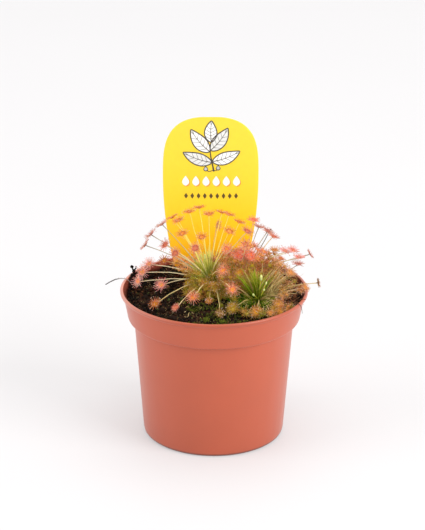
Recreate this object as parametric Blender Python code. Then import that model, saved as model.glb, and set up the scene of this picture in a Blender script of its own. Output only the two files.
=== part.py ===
"""Potted sundew: a round plastic nursery pot, its peat, a stick-in plant label and three rosettes of long-stalked leaves
with round sticky traps. Dimensions are in millimetres in the tables below and become metres in the meshes.

Frame: origin at the centre of the pot's underside, where its centre pad stands on the surface, +Z up, -Y the front.
"""

import math

import bpy
import bmesh
from mathutils import Vector

MM = 0.001
GAP = 0.3            # left between pieces that touch

# ---------------------------------------------------------------- pot
POT_H = 73.3         # height over the rim
RIM_R = 45.0         # outer radius of the rolled lip (a 9 cm pot)
LIP_H = 1.7          # height of the lip's outer band
COLLAR_TOP_R = 43.4  # collar, just under the lip
COLLAR_FOOT_R = 41.2
COLLAR_FOOT_Z = 59.0
BODY_TOP_R = 38.4
BODY_FOOT_R = 34.1
WALL = 1.0
FLOOR_UNDER_Z = 1.5  # the floor is raised so that water can drain
FLOOR_TOP_Z = 2.7
FOOT_IN_R = 30.6     # inner edge of the foot ring
PAD_R = 8.0          # centre pad, which stands on the surface too
HOLE_R = 3.2         # drainage holes
HOLE_PITCH_R = 22.5
HOLES = 8
POT_SEGMENTS = 56

# ---------------------------------------------------------------- peat
PEAT_Z = 68.6        # general level, a little under the rim
PEAT_RINGS = (5.0, 10.0, 15.0, 20.0, 24.5, 28.5, 32.0, 35.0, 37.6, 39.6, 41.0)
PEAT_SEGMENTS = 40

# ---------------------------------------------------------------- label
LABEL_T = 0.5
LABEL_TOP_Z = 147.7
LABEL_TIP_Z = 27.0
LABEL_WIDEST_Z = 117.3
LABEL_HALF_W = 23.3
LABEL_X = -1.85
LABEL_Y = 33.0       # where it enters the peat
LABEL_LEAN = math.radians(2.0)
LABEL_BEND = 0.0016  # per mm: the long edges stand back a little from the middle
LABEL_COLS = 8

# ---------------------------------------------------------------- plants: heart of the rosette, crown radius
PLANTS = {
    "left": (Vector((-2.2, 6.0, 74.6)), 4.6),
    "middle": (Vector((14.0, 11.5, 75.0)), 4.0),
    "right": (Vector((21.2, -12.0, 72.4)), 3.8),
}
# The point that the traps of a rosette stand round. The stalks spring from the heart, a little below and before it.
SPREAD = {
    "left": Vector((-1.0, 8.0, 78.0)),
    "middle": Vector((14.0, 12.0, 76.0)),
    "right": Vector((23.5, -9.0, 73.5)),
}
CROWN_FOOT_R = {"left": 6.0, "middle": 5.0, "right": 5.2}
ROOT_DEPTH = {"left": 22.0, "middle": 17.0, "right": 19.0}

# Leaves, one row each:
#   where the trap is, seen from the rosette's SPREAD point: compass angle from above (0 = +X, 90 = the back), angle above
#   level, and distance;
#   rise and swing: how many degrees steeper, and how many further round, the stalk sets off than the trap lies;
#   the trap's diameter;
#   where the trap's face looks: None for "on along the stalk, and up", or (compass angle, angle above level).
LEAVES = {
    "left": [
        (147, 77, 33, 3, 4, 4.8, None),
        (190, 71, 34, -1, -6, 4.8, None),
        (153, 49, 33, 6, -4, 4.8, None),
        (207, 59, 35, 1, -4, 5.0, None),
        (171, 44, 34, 4, -4, 5.0, None),
        (184, 35, 36, 8, 3, 5.2, None),
        (215, 37, 34, 9, -6, 5.0, (214, 42)),
        (172, 21, 35, 10, -4, 5.2, (172, 32)),
        (229, 51, 34, 5, -4, 5.0, None),
        (229, 34, 32, 8, 5, 5.2, (238, 36)),
        (258, 77, 34, 3, 6, 4.8, None),
        (50, 76, 30, 3, 11, 4.8, None),
        (346, 75, 32, 2, -6, 4.6, None),
        (78, 54, 24, 6, 6, 4.2, (332, 12)),
        (297, 57, 33, 5, 1, 5.0, None),
        (353, 64, 30, -2, -2, 4.6, None),
        (325, 52, 33, 6, 3, 5.2, None),
        (252, 41, 34, 7, -4, 5.2, (256, 40)),
        (252, 57, 29, 6, 3, 4.8, None),
        (289, 44, 29, 7, -5, 5.4, (284, 40)),
        (282, 24, 27, 10, -6, 6.0, (270, 28)),
        (291, 3, 27, 12, 7, 6.2, (276, 42)),
        (250, -7, 26, 18, 6, 6.0, (252, 46)),
        (186, -13, 25, 18, 6, 6.2, (246, 44)),
        (221, -11, 36, 12, -6, 6.0, (248, 46)),
        (241, -10, 35, 9, -5, 4.6, (222, 50)),
        (165, -6, 35, 12, 5, 6.6, (236, 40)),
        (154, -3, 34, 12, 4, 5.6, (234, 46)),
        (139, -4, 31, 12, -3, 5.6, (240, 50)),
        (276, -11, 36, 10, 8, 5.0, (280, 52)),
    ],
    "middle": [
        (309, 76, 31, 3, 5, 4.8, None),
        (15, 72, 25, 4, 5, 4.6, None),
        (331, 62, 28, 5, -5, 4.8, None),
        (347, 55, 25.6, 3, -2, 5.0, None),
        (273, 53, 27, 6, -5, 5.4, (270, 44)),
        (281, 43, 25, 7, 5, 5.2, (284, 40)),
        (30, 27, 20, 8, 5, 4.6, (300, 80)),
        (340, 35, 26, 8, -5, 5.0, (322, 69)),
        (4, 26, 27, 8, 6, 5.0, (322, 69)),
        (345, 23, 30, 8, -3, 5.0, (300, 84)),
        (0, 18, 34, 4, -3, 3.8, None),
        (264, 23, 19, 10, -5, 5.4, (266, 34)),
        (262, 43, 25, 3, -7, 5.2, (250, 38)),
    ],
    "right": [
        (300, -2, 13, 22, 5, 6.0, (290, 48)),
        (259, -4, 19, 20, 5, 6.0, (265, 48)),
        (224, -5, 20, 20, -5, 5.4, (252, 50)),
        (14, 8, 26.6, 11, 10, 3.8, (14, 4)),
        (7, 8, 19.8, 9, -8, 5.0, (326, 44)),
        (32, 32, 23, 7, 4, 4.8, (320, 80)),
        (32, 4, 15, 14, 11, 4.8, (300, 52)),
        (13, 38, 17, 8, -6, 5.0, (320, 50)),
    ],
}
STALK_R = (0.50, 0.32)   # at the crown, under the trap
LEAF_SIDES = 6
STALK_RINGS = 5


# ================================================================ helpers
def clear_scene():
    for obj in list(bpy.data.objects):
        bpy.data.objects.remove(obj, do_unlink=True)


def material(name, colour, roughness, metallic=0.0):
    m = bpy.data.materials.new(name)
    m.use_nodes = True
    shader = m.node_tree.nodes["Principled BSDF"]
    shader.inputs["Base Color"].default_value = (*colour, 1.0)
    shader.inputs["Roughness"].default_value = roughness
    shader.inputs["Metallic"].default_value = metallic
    return m


def finish(name, bm, mat, sharp=35.0, parent=None):
    """The bmesh, built in millimetres, as a named object in metres with its normals outwards."""
    bmesh.ops.recalc_face_normals(bm, faces=bm.faces)
    if bm.calc_volume(signed=True) < 0:
        bmesh.ops.reverse_faces(bm, faces=bm.faces)
    bmesh.ops.scale(bm, vec=(MM, MM, MM), verts=bm.verts)
    mesh = bpy.data.meshes.new(name)
    bm.to_mesh(mesh)
    bm.free()
    mesh.shade_smooth()
    mesh.set_sharp_from_angle(angle=math.radians(sharp))
    if mat is not None:
        mesh.materials.append(mat)
    obj = bpy.data.objects.new(name, mesh)
    bpy.context.scene.collection.objects.link(obj)
    obj.parent = parent
    return obj


def cutter(obj):
    obj.hide_render = True
    obj.display_type = "WIRE"
    return obj


def cut(obj, tool):
    mod = obj.modifiers.new("cut_" + tool.name, "BOOLEAN")
    mod.operation = "DIFFERENCE"
    mod.solver = "EXACT"
    mod.object = tool


def bridge(bm, low, high):
    n = len(low)
    for i in range(n):
        bm.faces.new((low[i], low[(i + 1) % n], high[(i + 1) % n], high[i]))


def lathe(bm, profile, segments, centre=(0.0, 0.0)):
    """Turns the (r, z) profile about the vertical through centre. A point with r = 0 becomes a pole."""
    rings = []
    for r, z in profile:
        if r == 0.0:
            rings.append([bm.verts.new((centre[0], centre[1], z))])
            continue
        rings.append([
            bm.verts.new((centre[0] + r * math.cos(a), centre[1] + r * math.sin(a), z))
            for a in (2 * math.pi * k / segments for k in range(segments))
        ])
    for a, b in zip(rings, rings[1:]):
        if len(a) == 1 and len(b) == 1:
            continue
        if len(a) == 1:
            for i in range(segments):
                bm.faces.new((a[0], b[i], b[(i + 1) % segments]))
        elif len(b) == 1:
            for i in range(segments):
                bm.faces.new((b[0], a[(i + 1) % segments], a[i]))
        else:
            bridge(bm, a, b)


def direction(az, el):
    a, e = math.radians(az), math.radians(el)
    return Vector((math.cos(a) * math.cos(e), math.sin(a) * math.cos(e), math.sin(e)))


def angles(v):
    """Compass angle and angle above level of a vector, in degrees."""
    return math.degrees(math.atan2(v.y, v.x)), math.degrees(math.asin(v.z / v.length))


def bezier(p0, p1, p2, p3, t):
    s = 1 - t
    return p0 * s**3 + p1 * (3 * s * s * t) + p2 * (3 * s * t * t) + p3 * t**3


# ================================================================ heights
def peat_height(x, y):
    """Top of the peat: heaped at the back round the label, mounded under the rosettes, gently uneven."""
    z = PEAT_Z
    z += 3.0 * math.exp(-(((x + 8) / 24) ** 2) - ((y - 34) / 11) ** 2)
    z += 1.5 * math.exp(-(((x - 8) / 21) ** 2) - ((y - 2) / 15) ** 2)
    z += 0.35 * math.sin(0.31 * x + 1.1) * math.cos(0.27 * y - 0.4) + 0.2 * math.sin(0.53 * x - 0.71 * y)
    return z


# ================================================================ pot
def pot_profile():
    """Outside down, then across the underside to the axis; inside up first, from the floor's middle."""
    slope = (BODY_TOP_R - BODY_FOOT_R) / (COLLAR_FOOT_Z - 2.0)
    inner_foot = BODY_FOOT_R - WALL + slope * 0.7
    inside = [
        (0.0, FLOOR_TOP_Z),
        (PAD_R, FLOOR_TOP_Z),
        (inner_foot - 1.2, FLOOR_TOP_Z),
        (inner_foot, FLOOR_TOP_Z + 1.2),
        (BODY_TOP_R - WALL, COLLAR_FOOT_Z - 1.2),
        (BODY_TOP_R - WALL + 0.9, COLLAR_FOOT_Z + 0.1),
        (COLLAR_FOOT_R - WALL - 0.5, COLLAR_FOOT_Z + 0.6),
        (COLLAR_FOOT_R - WALL, COLLAR_FOOT_Z + 1.3),
        (COLLAR_TOP_R - WALL, POT_H - LIP_H - 0.6),
        (RIM_R - 2.2, POT_H - 0.5),
        (RIM_R - 1.9, POT_H - 0.1),
        (RIM_R - 1.5, POT_H),
    ]
    outside = [
        (RIM_R - 0.5, POT_H),
        (RIM_R - 0.1, POT_H - 0.3),
        (RIM_R, POT_H - 0.7),
        (RIM_R, POT_H - LIP_H + 0.3),
        (RIM_R - 0.4, POT_H - LIP_H),
        (COLLAR_TOP_R + 0.1, POT_H - LIP_H - 0.3),
        (COLLAR_FOOT_R + 0.15, COLLAR_FOOT_Z + 0.9),
        (COLLAR_FOOT_R - 0.3, COLLAR_FOOT_Z + 0.1),
        (BODY_TOP_R + 0.5, COLLAR_FOOT_Z - 0.3),
        (BODY_TOP_R, COLLAR_FOOT_Z - 1.0),
        (BODY_FOOT_R, 2.2),
        (BODY_FOOT_R - 0.4, 0.7),
        (BODY_FOOT_R - 1.3, 0.0),
        (FOOT_IN_R, 0.0),
        (FOOT_IN_R - 0.7, FLOOR_UNDER_Z),
        (PAD_R + 0.5, FLOOR_UNDER_Z),
        (PAD_R, 0.0),
        (0.0, 0.0),
    ]
    return inside + outside


def make_pot(mat):
    bm = bmesh.new()
    lathe(bm, pot_profile(), POT_SEGMENTS)
    pot = finish("pot", bm, mat)
    bm = bmesh.new()
    for k in range(HOLES):
        a = 2 * math.pi * (k + 0.5) / HOLES
        lathe(
            bm,
            [(0.0, FLOOR_UNDER_Z - 1.0), (HOLE_R, FLOOR_UNDER_Z - 1.0), (HOLE_R, FLOOR_TOP_Z + 1.0), (0.0, FLOOR_TOP_Z + 1.0)],
            14,
            (HOLE_PITCH_R * math.cos(a), HOLE_PITCH_R * math.sin(a)),
        )
    cut(pot, cutter(finish("drain_hole_cutter", bm, None)))
    return pot


# ================================================================ label
def label_half_width(z):
    if z > LABEL_WIDEST_Z:
        t = (z - LABEL_WIDEST_Z) / (LABEL_TOP_Z + 0.1 - LABEL_WIDEST_Z)
        return LABEL_HALF_W * max(0.0, 1 - t**3.3) ** 0.375
    return LABEL_HALF_W - 0.0027 * (LABEL_WIDEST_Z - z) ** 2


def label_y(x, z):
    return LABEL_Y + (z - 72.0) * math.tan(LABEL_LEAN) + LABEL_BEND * (x - LABEL_X) ** 2


def label_levels():
    low = [LABEL_TIP_Z + (LABEL_WIDEST_Z - LABEL_TIP_Z) * (k / 13) for k in range(14)]
    top = [LABEL_WIDEST_Z + (LABEL_TOP_Z - LABEL_WIDEST_Z) * math.sin(math.pi / 2 * k / 12) for k in range(1, 13)]
    return low + top


def label_solid(name, mat, grow):
    """The label as a bent plate; grow makes the slightly larger shape that clears its slot in the peat."""
    bm = bmesh.new()
    half = LABEL_T / 2 + grow
    front, back = [], []
    levels = label_levels()
    if grow:
        levels = [z for z in levels if z < 90.0]
        levels[0] -= grow
    for z in levels:
        w = label_half_width(max(z, LABEL_TIP_Z)) + grow
        row = [LABEL_X + w * (2 * k / LABEL_COLS - 1) for k in range(LABEL_COLS + 1)]
        front.append([bm.verts.new((x, label_y(x, z) - half, z)) for x in row])
        back.append([bm.verts.new((x, label_y(x, z) + half, z)) for x in row])
    for side, flip in ((front, False), (back, True)):
        for a, b in zip(side, side[1:]):
            for k in range(LABEL_COLS):
                quad = (a[k], a[k + 1], b[k + 1], b[k])
                bm.faces.new(quad[::-1] if flip else quad)
    for i in range(len(front) - 1):
        bm.faces.new((front[i][0], front[i + 1][0], back[i + 1][0], back[i][0]))
        bm.faces.new((front[i][-1], back[i][-1], back[i + 1][-1], front[i + 1][-1]))
    for row_f, row_b in ((front[0], back[0]), (front[-1], back[-1])):
        for k in range(LABEL_COLS):
            bm.faces.new((row_f[k], row_b[k], row_b[k + 1], row_f[k + 1]))
    return finish(name, bm, mat)


# ================================================================ peat
def peat_point(ring, k):
    a = 2 * math.pi * k / PEAT_SEGMENTS
    r = PEAT_RINGS[ring]
    x, y = r * math.cos(a), r * math.sin(a)
    return Vector((x, y, peat_height(x, y)))


def make_peat(mat, label_tool, crown_tools):
    slope = (BODY_TOP_R - BODY_FOOT_R) / (COLLAR_FOOT_Z - 2.0)
    foot_r = BODY_FOOT_R - WALL + slope * 0.7 - GAP - 0.1
    bm = bmesh.new()
    rings = []
    rings.append([bm.verts.new((0, 0, peat_height(0, 0)))])
    for i in range(len(PEAT_RINGS)):
        rings.append([bm.verts.new(peat_point(i, k)) for k in range(PEAT_SEGMENTS)])
    side = [
        (COLLAR_FOOT_R - WALL - GAP - 0.1, COLLAR_FOOT_Z + 1.9),
        (COLLAR_FOOT_R - WALL - GAP - 1.0, COLLAR_FOOT_Z + 1.1),
        (BODY_TOP_R - WALL - GAP - 0.1, COLLAR_FOOT_Z - 0.4),
        (foot_r, FLOOR_TOP_Z + 1.7),
        (foot_r - 1.3, FLOOR_TOP_Z + GAP),
    ]
    for r, z in side:
        rings.append([
            bm.verts.new((r * math.cos(a), r * math.sin(a), z))
            for a in (2 * math.pi * k / PEAT_SEGMENTS for k in range(PEAT_SEGMENTS))
        ])
    rings.append([bm.verts.new((0, 0, FLOOR_TOP_Z + GAP))])
    for a, b in zip(rings, rings[1:]):
        if len(a) == 1:
            for i in range(PEAT_SEGMENTS):
                bm.faces.new((a[0], b[i], b[(i + 1) % PEAT_SEGMENTS]))
        elif len(b) == 1:
            for i in range(PEAT_SEGMENTS):
                bm.faces.new((b[0], a[(i + 1) % PEAT_SEGMENTS], a[i]))
        else:
            bridge(bm, a, b)
    bmesh.ops.triangulate(bm, faces=[f for f in bm.faces if len(f.verts) > 3], quad_method="FIXED")
    peat = finish("peat", bm, mat)
    cut(peat, label_tool)
    for tool in crown_tools:
        cut(peat, tool)
    return peat


# ================================================================ moss and fibre
def make_moss(name, mat, first, last, ring_lo, ring_hi, height):
    """A low cushion on the peat. It uses the peat's own grid, so its underside follows the surface it lies on."""
    bm = bmesh.new()
    low, high = {}, {}
    for i in range(ring_lo, ring_hi + 1):
        for k in range(first, last + 1):
            p = peat_point(i, k)
            u = (i - ring_lo) / (ring_hi - ring_lo)
            v = (k - first) / (last - first)
            crown = (math.sin(math.pi * (0.12 + 0.76 * u)) * math.sin(math.pi * (0.10 + 0.80 * v))) ** 0.6
            low[i, k] = bm.verts.new((p.x, p.y, p.z + GAP))
            high[i, k] = bm.verts.new((p.x, p.y, p.z + GAP + height * crown * (1 + 0.15 * math.sin(2.3 * k + 1.7 * i))))
    for i in range(ring_lo, ring_hi):
        for k in range(first, last):
            quad = [(i, k), (i + 1, k), (i + 1, k + 1), (i, k + 1)]
            bm.faces.new([high[q] for q in quad])
            bm.faces.new([low[q] for q in (quad[0], quad[3], quad[2], quad[1])])  # split along the peat's own diagonal
    edge = [(ring_lo, k) for k in range(first, last)] + [(i, last) for i in range(ring_lo, ring_hi)]
    edge += [(ring_hi, k) for k in range(last, first, -1)] + [(i, first) for i in range(ring_hi, ring_lo, -1)]
    for a, b in zip(edge, edge[1:] + edge[:1]):
        bm.faces.new((low[a], low[b], high[b], high[a]))
    bmesh.ops.triangulate(bm, faces=bm.faces, quad_method="FIXED")
    return finish(name, bm, mat, 60.0)


def make_fibre(mat):
    """A thin old root that sticks out over the rim on the left."""
    curve = bpy.data.curves.new("root_fibre", "CURVE")
    curve.dimensions = "3D"
    curve.bevel_depth = 0.2 * MM
    curve.bevel_resolution = 1
    curve.use_fill_caps = True
    route = [Vector(p) for p in ((-39.2, 9.6, 69.8), (-41.3, 8.9, 76.2), (-46.5, 9.0, 75.4), (-52.2, 4.0, 73.2))]
    points = [bezier(*route, k / 10) for k in range(11)]
    spline = curve.splines.new("POLY")
    spline.points.add(len(points) - 1)
    for p, q in zip(spline.points, points):
        p.co = (*(q * MM), 1.0)
    curve.materials.append(mat)
    obj = bpy.data.objects.new("root_fibre", curve)
    bpy.context.scene.collection.objects.link(obj)
    return obj


# ================================================================ rosettes
def crown_profile(plant, grow):
    """Tap root, foot on the peat and round heart, from the bottom up."""
    heart, r = PLANTS[plant]
    ground = peat_height(heart.x, heart.y)
    foot = CROWN_FOOT_R[plant]
    deep = ground - ROOT_DEPTH[plant]
    profile = [
        (0.0, deep - grow),
        (0.6 + grow, deep - grow),
        (2.0 + grow, ground - 4.0),
        (foot * 0.75 + grow, ground - 1.0),
        (foot + grow, ground + 0.6),
        (foot * 0.86 + grow, ground + 1.9),
    ]
    low_angle = math.asin(max(-0.75, min(0.6, (ground + 2.2 - heart.z) / r)))
    steps = 5
    for k in range(steps):
        a = low_angle + (math.pi / 2 - low_angle) * k / steps
        profile.append((r * math.cos(a) + grow, heart.z + r * math.sin(a)))
    profile.append((0.0, heart.z + r + grow))
    return profile


def crown_solid(name, plant, mat, grow=0.0):
    heart, _ = PLANTS[plant]
    bm = bmesh.new()
    lathe(bm, crown_profile(plant, grow), 16, (heart.x, heart.y))
    return finish(name, bm, mat)


def leaf_route(plant, row):
    """Stalk from the crown's surface to the back of the trap, as four Bezier points, with its direction at the trap."""
    az, el, length, rise, swing = row[:5]
    heart, r = PLANTS[plant]
    p3 = SPREAD[plant] + direction(az, el) * length
    az, el = angles(p3 - heart)
    start_dir = direction(az + swing, min(88.0, el + rise))
    end_dir = direction(az - 0.8 * swing, el - 0.9 * rise)
    p0 = heart + start_dir * (r + GAP + 0.15)
    span = (p3 - p0).length
    return p0, p0 + start_dir * span * 0.36, p3 - end_dir * span * 0.36, p3, end_dir


def make_leaf(name, plant, row, mat, parent):
    """One leaf in one piece: a tapering stalk that widens into the round back of the trap, which it holds at its middle."""
    p0, p1, p2, p3, end_dir = leaf_route(plant, row)
    trap_d, face = row[5:]
    normal = direction(*face) if face else (end_dir + Vector((0, 0, 0.35))).normalized()
    rd = trap_d / 2
    stations = []
    for k in range(STALK_RINGS):
        t = k / (STALK_RINGS - 1) * 0.96
        here, ahead = bezier(p0, p1, p2, p3, t), bezier(p0, p1, p2, p3, t + 0.02)
        stations.append((here, (ahead - here).normalized(), STALK_R[0] + (STALK_R[1] - STALK_R[0]) * t))
    stations.append((p3 + normal * 0.15, normal, rd * 0.55))
    stations.append((p3 + normal * 0.55, normal, rd))
    stations.append((p3 + normal * 1.05, normal, rd * 0.93))
    bm = bmesh.new()
    side = Vector((0, 0, 1)).cross(stations[0][1])
    if side.length < 0.05:
        side = Vector((1, 0, 0))
    rings = []
    for centre, axis, radius in stations:
        side = (side - axis * side.dot(axis)).normalized()
        over = axis.cross(side)
        rings.append([
            bm.verts.new(centre + (side * math.cos(a) + over * math.sin(a)) * radius)
            for a in (2 * math.pi * k / LEAF_SIDES for k in range(LEAF_SIDES))
        ])
    for a, b in zip(rings, rings[1:]):
        bridge(bm, a, b)
    base = bm.verts.new(stations[0][0] - stations[0][1] * 0.1)
    tip = bm.verts.new(p3 + normal * 1.3)
    for i in range(LEAF_SIDES):
        bm.faces.new((base, rings[0][(i + 1) % LEAF_SIDES], rings[0][i]))
        bm.faces.new((tip, rings[-1][i], rings[-1][(i + 1) % LEAF_SIDES]))
    return finish(name, bm, mat, 50.0, parent)


# ================================================================ build
def main():
    clear_scene()
    terracotta = material("terracotta_plastic", (0.60, 0.17, 0.085), 0.42)
    peat_mat = material("peat", (0.022, 0.014, 0.010), 0.95)
    label_mat = material("label_plastic", (0.98, 0.72, 0.03), 0.35)
    leaf_mat = material("leaf", (0.62, 0.30, 0.13), 0.5)
    crown_mat = material("crown", (0.20, 0.27, 0.04), 0.6)
    moss_mat = material("moss", (0.08, 0.13, 0.02), 0.9)

    make_pot(terracotta)
    label_solid("plant_label", label_mat, 0.0)
    label_tool = cutter(label_solid("label_slot_cutter", None, GAP))
    tools = []
    for plant in PLANTS:
        holder = bpy.data.objects.new("rosette_" + plant, None)
        bpy.context.scene.collection.objects.link(holder)
        crown_solid(plant + "_crown", plant, crown_mat).parent = holder
        tools.append(cutter(crown_solid(plant + "_socket_cutter", plant, None, GAP)))
        for i, row in enumerate(LEAVES[plant], 1):
            make_leaf(f"{plant}_leaf_{i:02d}", plant, row, leaf_mat, holder)
    make_peat(peat_mat, label_tool, tools)
    make_moss("moss_patch", moss_mat, 28, 33, 7, 9, 1.0)
    make_fibre(peat_mat)


main()
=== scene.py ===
import math
import random

import bpy
import numpy as np
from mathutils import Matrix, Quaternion, Vector, noise


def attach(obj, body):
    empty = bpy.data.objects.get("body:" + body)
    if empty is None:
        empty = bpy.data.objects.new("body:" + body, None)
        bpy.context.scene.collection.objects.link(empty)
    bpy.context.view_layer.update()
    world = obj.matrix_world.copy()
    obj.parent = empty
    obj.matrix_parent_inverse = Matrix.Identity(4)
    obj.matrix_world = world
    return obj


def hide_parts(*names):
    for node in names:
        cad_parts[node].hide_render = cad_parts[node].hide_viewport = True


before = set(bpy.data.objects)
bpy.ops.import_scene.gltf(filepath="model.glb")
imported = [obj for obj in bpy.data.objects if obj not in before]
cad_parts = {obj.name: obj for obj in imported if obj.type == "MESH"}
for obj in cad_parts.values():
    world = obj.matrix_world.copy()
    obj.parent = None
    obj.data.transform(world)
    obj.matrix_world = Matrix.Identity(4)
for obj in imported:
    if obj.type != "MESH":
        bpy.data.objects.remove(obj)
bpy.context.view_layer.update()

# Lengths below are millimetres; build() turns them into metres.
MM = 0.001
TAU = 2 * math.pi
UP = Vector((0, 0, 1))


def srgb(r, g, b):
    """An everyday 0-255 colour as the linear colour that shaders take."""
    def lin(c):
        c /= 255.0
        return c / 12.92 if c <= 0.04045 else ((c + 0.055) / 1.055) ** 2.4
    return (lin(r), lin(g), lin(b))


def mix(a, b, t):
    return tuple(x + (y - x) * t for x, y in zip(a, b))


def gain(c, k):
    return tuple(x * k for x in c)


def direction(az, el):
    a, e = math.radians(az), math.radians(el)
    return Vector((math.cos(a) * math.cos(e), math.sin(a) * math.cos(e), math.sin(e)))


def bezier(p0, p1, p2, p3, n):
    pts = []
    for i in range(n + 1):
        t = i / n
        s = 1 - t
        pts.append(p0 * s ** 3 + p1 * (3 * s * s * t) + p2 * (3 * s * t * t) + p3 * t ** 3)
    return pts


def bump_noise(p, size, seed=0.0):
    """Smooth noise, about -1..1, whose lumps are about `size` mm."""
    return noise.noise(Vector((p[0] / size + seed, p[1] / size - seed * 0.7, p[2] / size + seed * 1.3)))


# ---------------------------------------------------------------- mesh making
class Soup:
    """Vertices with one colour each, and faces with a material number each."""

    def __init__(self):
        self.v, self.c, self.f, self.m = [], [], [], []

    def tube(self, pts, radii, cols, sides=6, mat=0, cap=True, flat=None, across=None):
        """A swept tube. flat squashes the section; across is the direction that stays wide."""
        base, n, side = len(self.v), len(pts), None
        for i, p in enumerate(pts):
            a = (pts[min(i + 1, n - 1)] - pts[max(i - 1, 0)]).normalized()
            if side is None:
                side = (across if across is not None else a.orthogonal()).copy()
            side = side - a * side.dot(a)
            side = side.normalized() if side.length > 1e-6 else a.orthogonal().normalized()
            over = a.cross(side)
            k2 = 1.0 if flat is None else flat
            for k in range(sides):
                t = TAU * k / sides
                self.v.append(p + (side * math.cos(t) + over * (math.sin(t) * k2)) * radii[i])
                self.c.append(cols[i])
        for i in range(n - 1):
            for k in range(sides):
                a, b = base + i * sides + k, base + i * sides + (k + 1) % sides
                self.f.append((a, b, b + sides, a + sides))
                self.m.append(mat)
        if cap:
            self.f.append(tuple(base + k for k in reversed(range(sides))))
            self.f.append(tuple(base + (n - 1) * sides + k for k in range(sides)))
            self.m += [mat, mat]

    def ball(self, c, axis, r, col, mat=0, sides=5, rings=2, long=1.0, lump=0.0, rng=None):
        a = axis.normalized()
        s = a.orthogonal().normalized()
        o = a.cross(s)
        b = len(self.v)

        def put(p):
            if lump:
                p = c + (p - c) * (1 + rng.uniform(-lump, lump))
            self.v.append(p)
            self.c.append(col)
        put(c - a * r * long)
        for j in range(1, rings + 1):
            t = math.pi * j / (rings + 1)
            for k in range(sides):
                p = TAU * (k + 0.5 * j) / sides
                put(c - a * r * long * math.cos(t) + (s * math.cos(p) + o * math.sin(p)) * r * math.sin(t))
        put(c + a * r * long)
        top = len(self.v) - 1
        for k in range(sides):
            k1 = (k + 1) % sides
            self.f.append((b, b + 1 + k1, b + 1 + k))
            self.m.append(mat)
            for j in range(rings - 1):
                q = b + 1 + j * sides
                self.f.append((q + k, q + k1, q + sides + k1, q + sides + k))
                self.m.append(mat)
            q = b + 1 + (rings - 1) * sides
            self.f.append((q + k, q + k1, top))
            self.m.append(mat)

    def lathe(self, rings, cols, mat=0, close=True):
        """Rings of equal point counts, lowest or first ring to last, joined and capped."""
        base, n = len(self.v), len(rings[0])
        for ring, col in zip(rings, cols):
            for i, p in enumerate(ring):
                self.v.append(p)
                self.c.append(col[i] if isinstance(col, list) else col)
        for j in range(len(rings) - 1):
            q = base + j * n
            for k in range(n):
                k1 = (k + 1) % n
                self.f.append((q + k, q + k1, q + n + k1, q + n + k))
                self.m.append(mat)
        if close:
            self.f.append(tuple(base + k for k in reversed(range(n))))
            q = base + (len(rings) - 1) * n
            self.f.append(tuple(q + k for k in range(n)))
            self.m += [mat, mat]

    def build(self, name, mats, slot, node=None, smooth=True, sharp=None):
        me = bpy.data.meshes.new(name)
        me.from_pydata([(p[0] * MM, p[1] * MM, p[2] * MM) for p in self.v], [], self.f)
        at = me.color_attributes.new("tint", "FLOAT_COLOR", "POINT")
        at.data.foreach_set("color", np.array([(c[0], c[1], c[2], 1.0) for c in self.c], np.float32).ravel())
        for m in mats:
            me.materials.append(m)
        me.polygons.foreach_set("material_index", self.m)
        if smooth:
            me.shade_smooth()
            if sharp:
                me.set_sharp_from_angle(angle=math.radians(sharp))
        ob = bpy.data.objects.new(name, me)
        bpy.context.scene.collection.objects.link(ob)
        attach(ob, "root")
        if node:
            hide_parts(node)
        return ob


# ---------------------------------------------------------------- materials
def material(name):
    m = bpy.data.materials.new(name)
    m.use_nodes = True
    return m, m.node_tree, m.node_tree.nodes["Principled BSDF"]


def node(nt, kind, **values):
    n = nt.nodes.new(kind)
    for k, v in values.items():
        if k in n.inputs:
            n.inputs[k].default_value = v
        else:
            setattr(n, k, v)
    return n


def noise_tex(nt, scale, detail=4.0, rough=0.55, stretch=None):
    tc = node(nt, "ShaderNodeTexCoord")
    tex = node(nt, "ShaderNodeTexNoise")
    tex.inputs["Scale"].default_value = scale
    tex.inputs["Detail"].default_value = detail
    tex.inputs["Roughness"].default_value = rough
    src = tc.outputs["Object"]
    if stretch:
        mp = node(nt, "ShaderNodeMapping")
        mp.inputs["Scale"].default_value = stretch
        nt.links.new(src, mp.inputs["Vector"])
        src = mp.outputs["Vector"]
    nt.links.new(src, tex.inputs["Vector"])
    return tex.outputs["Fac"]


def ramp(nt, src, stops):
    r = node(nt, "ShaderNodeValToRGB")
    el = r.color_ramp.elements
    while len(el) < len(stops):
        el.new(0.5)
    for e, (pos, col) in zip(el, stops):
        e.position = pos
        e.color = (*col, 1.0) if len(col) == 3 else col
    nt.links.new(src, r.inputs["Fac"])
    return r.outputs["Color"]


def remap(nt, src, lo, hi, a=0.25, b=0.75):
    n = node(nt, "ShaderNodeMapRange")
    n.inputs["From Min"].default_value = a
    n.inputs["From Max"].default_value = b
    n.inputs["To Min"].default_value = lo
    n.inputs["To Max"].default_value = hi
    nt.links.new(src, n.inputs["Value"])
    return n.outputs["Result"]


def tinted(nt, bsdf, src, lo, hi, glow=0.0):
    """Vertex tint times a grey that wanders between lo and hi, into Base Color; glow stands for light that shines through."""
    at = node(nt, "ShaderNodeAttribute")
    at.attribute_name = "tint"
    grey = remap(nt, src, lo, hi)
    mul = node(nt, "ShaderNodeVectorMath", operation="MULTIPLY")
    nt.links.new(at.outputs["Color"], mul.inputs[0])
    nt.links.new(grey, mul.inputs[1])
    nt.links.new(mul.outputs["Vector"], bsdf.inputs["Base Color"])
    if glow:
        nt.links.new(mul.outputs["Vector"], bsdf.inputs["Emission Color"])
        bsdf.inputs["Emission Strength"].default_value = glow


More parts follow.
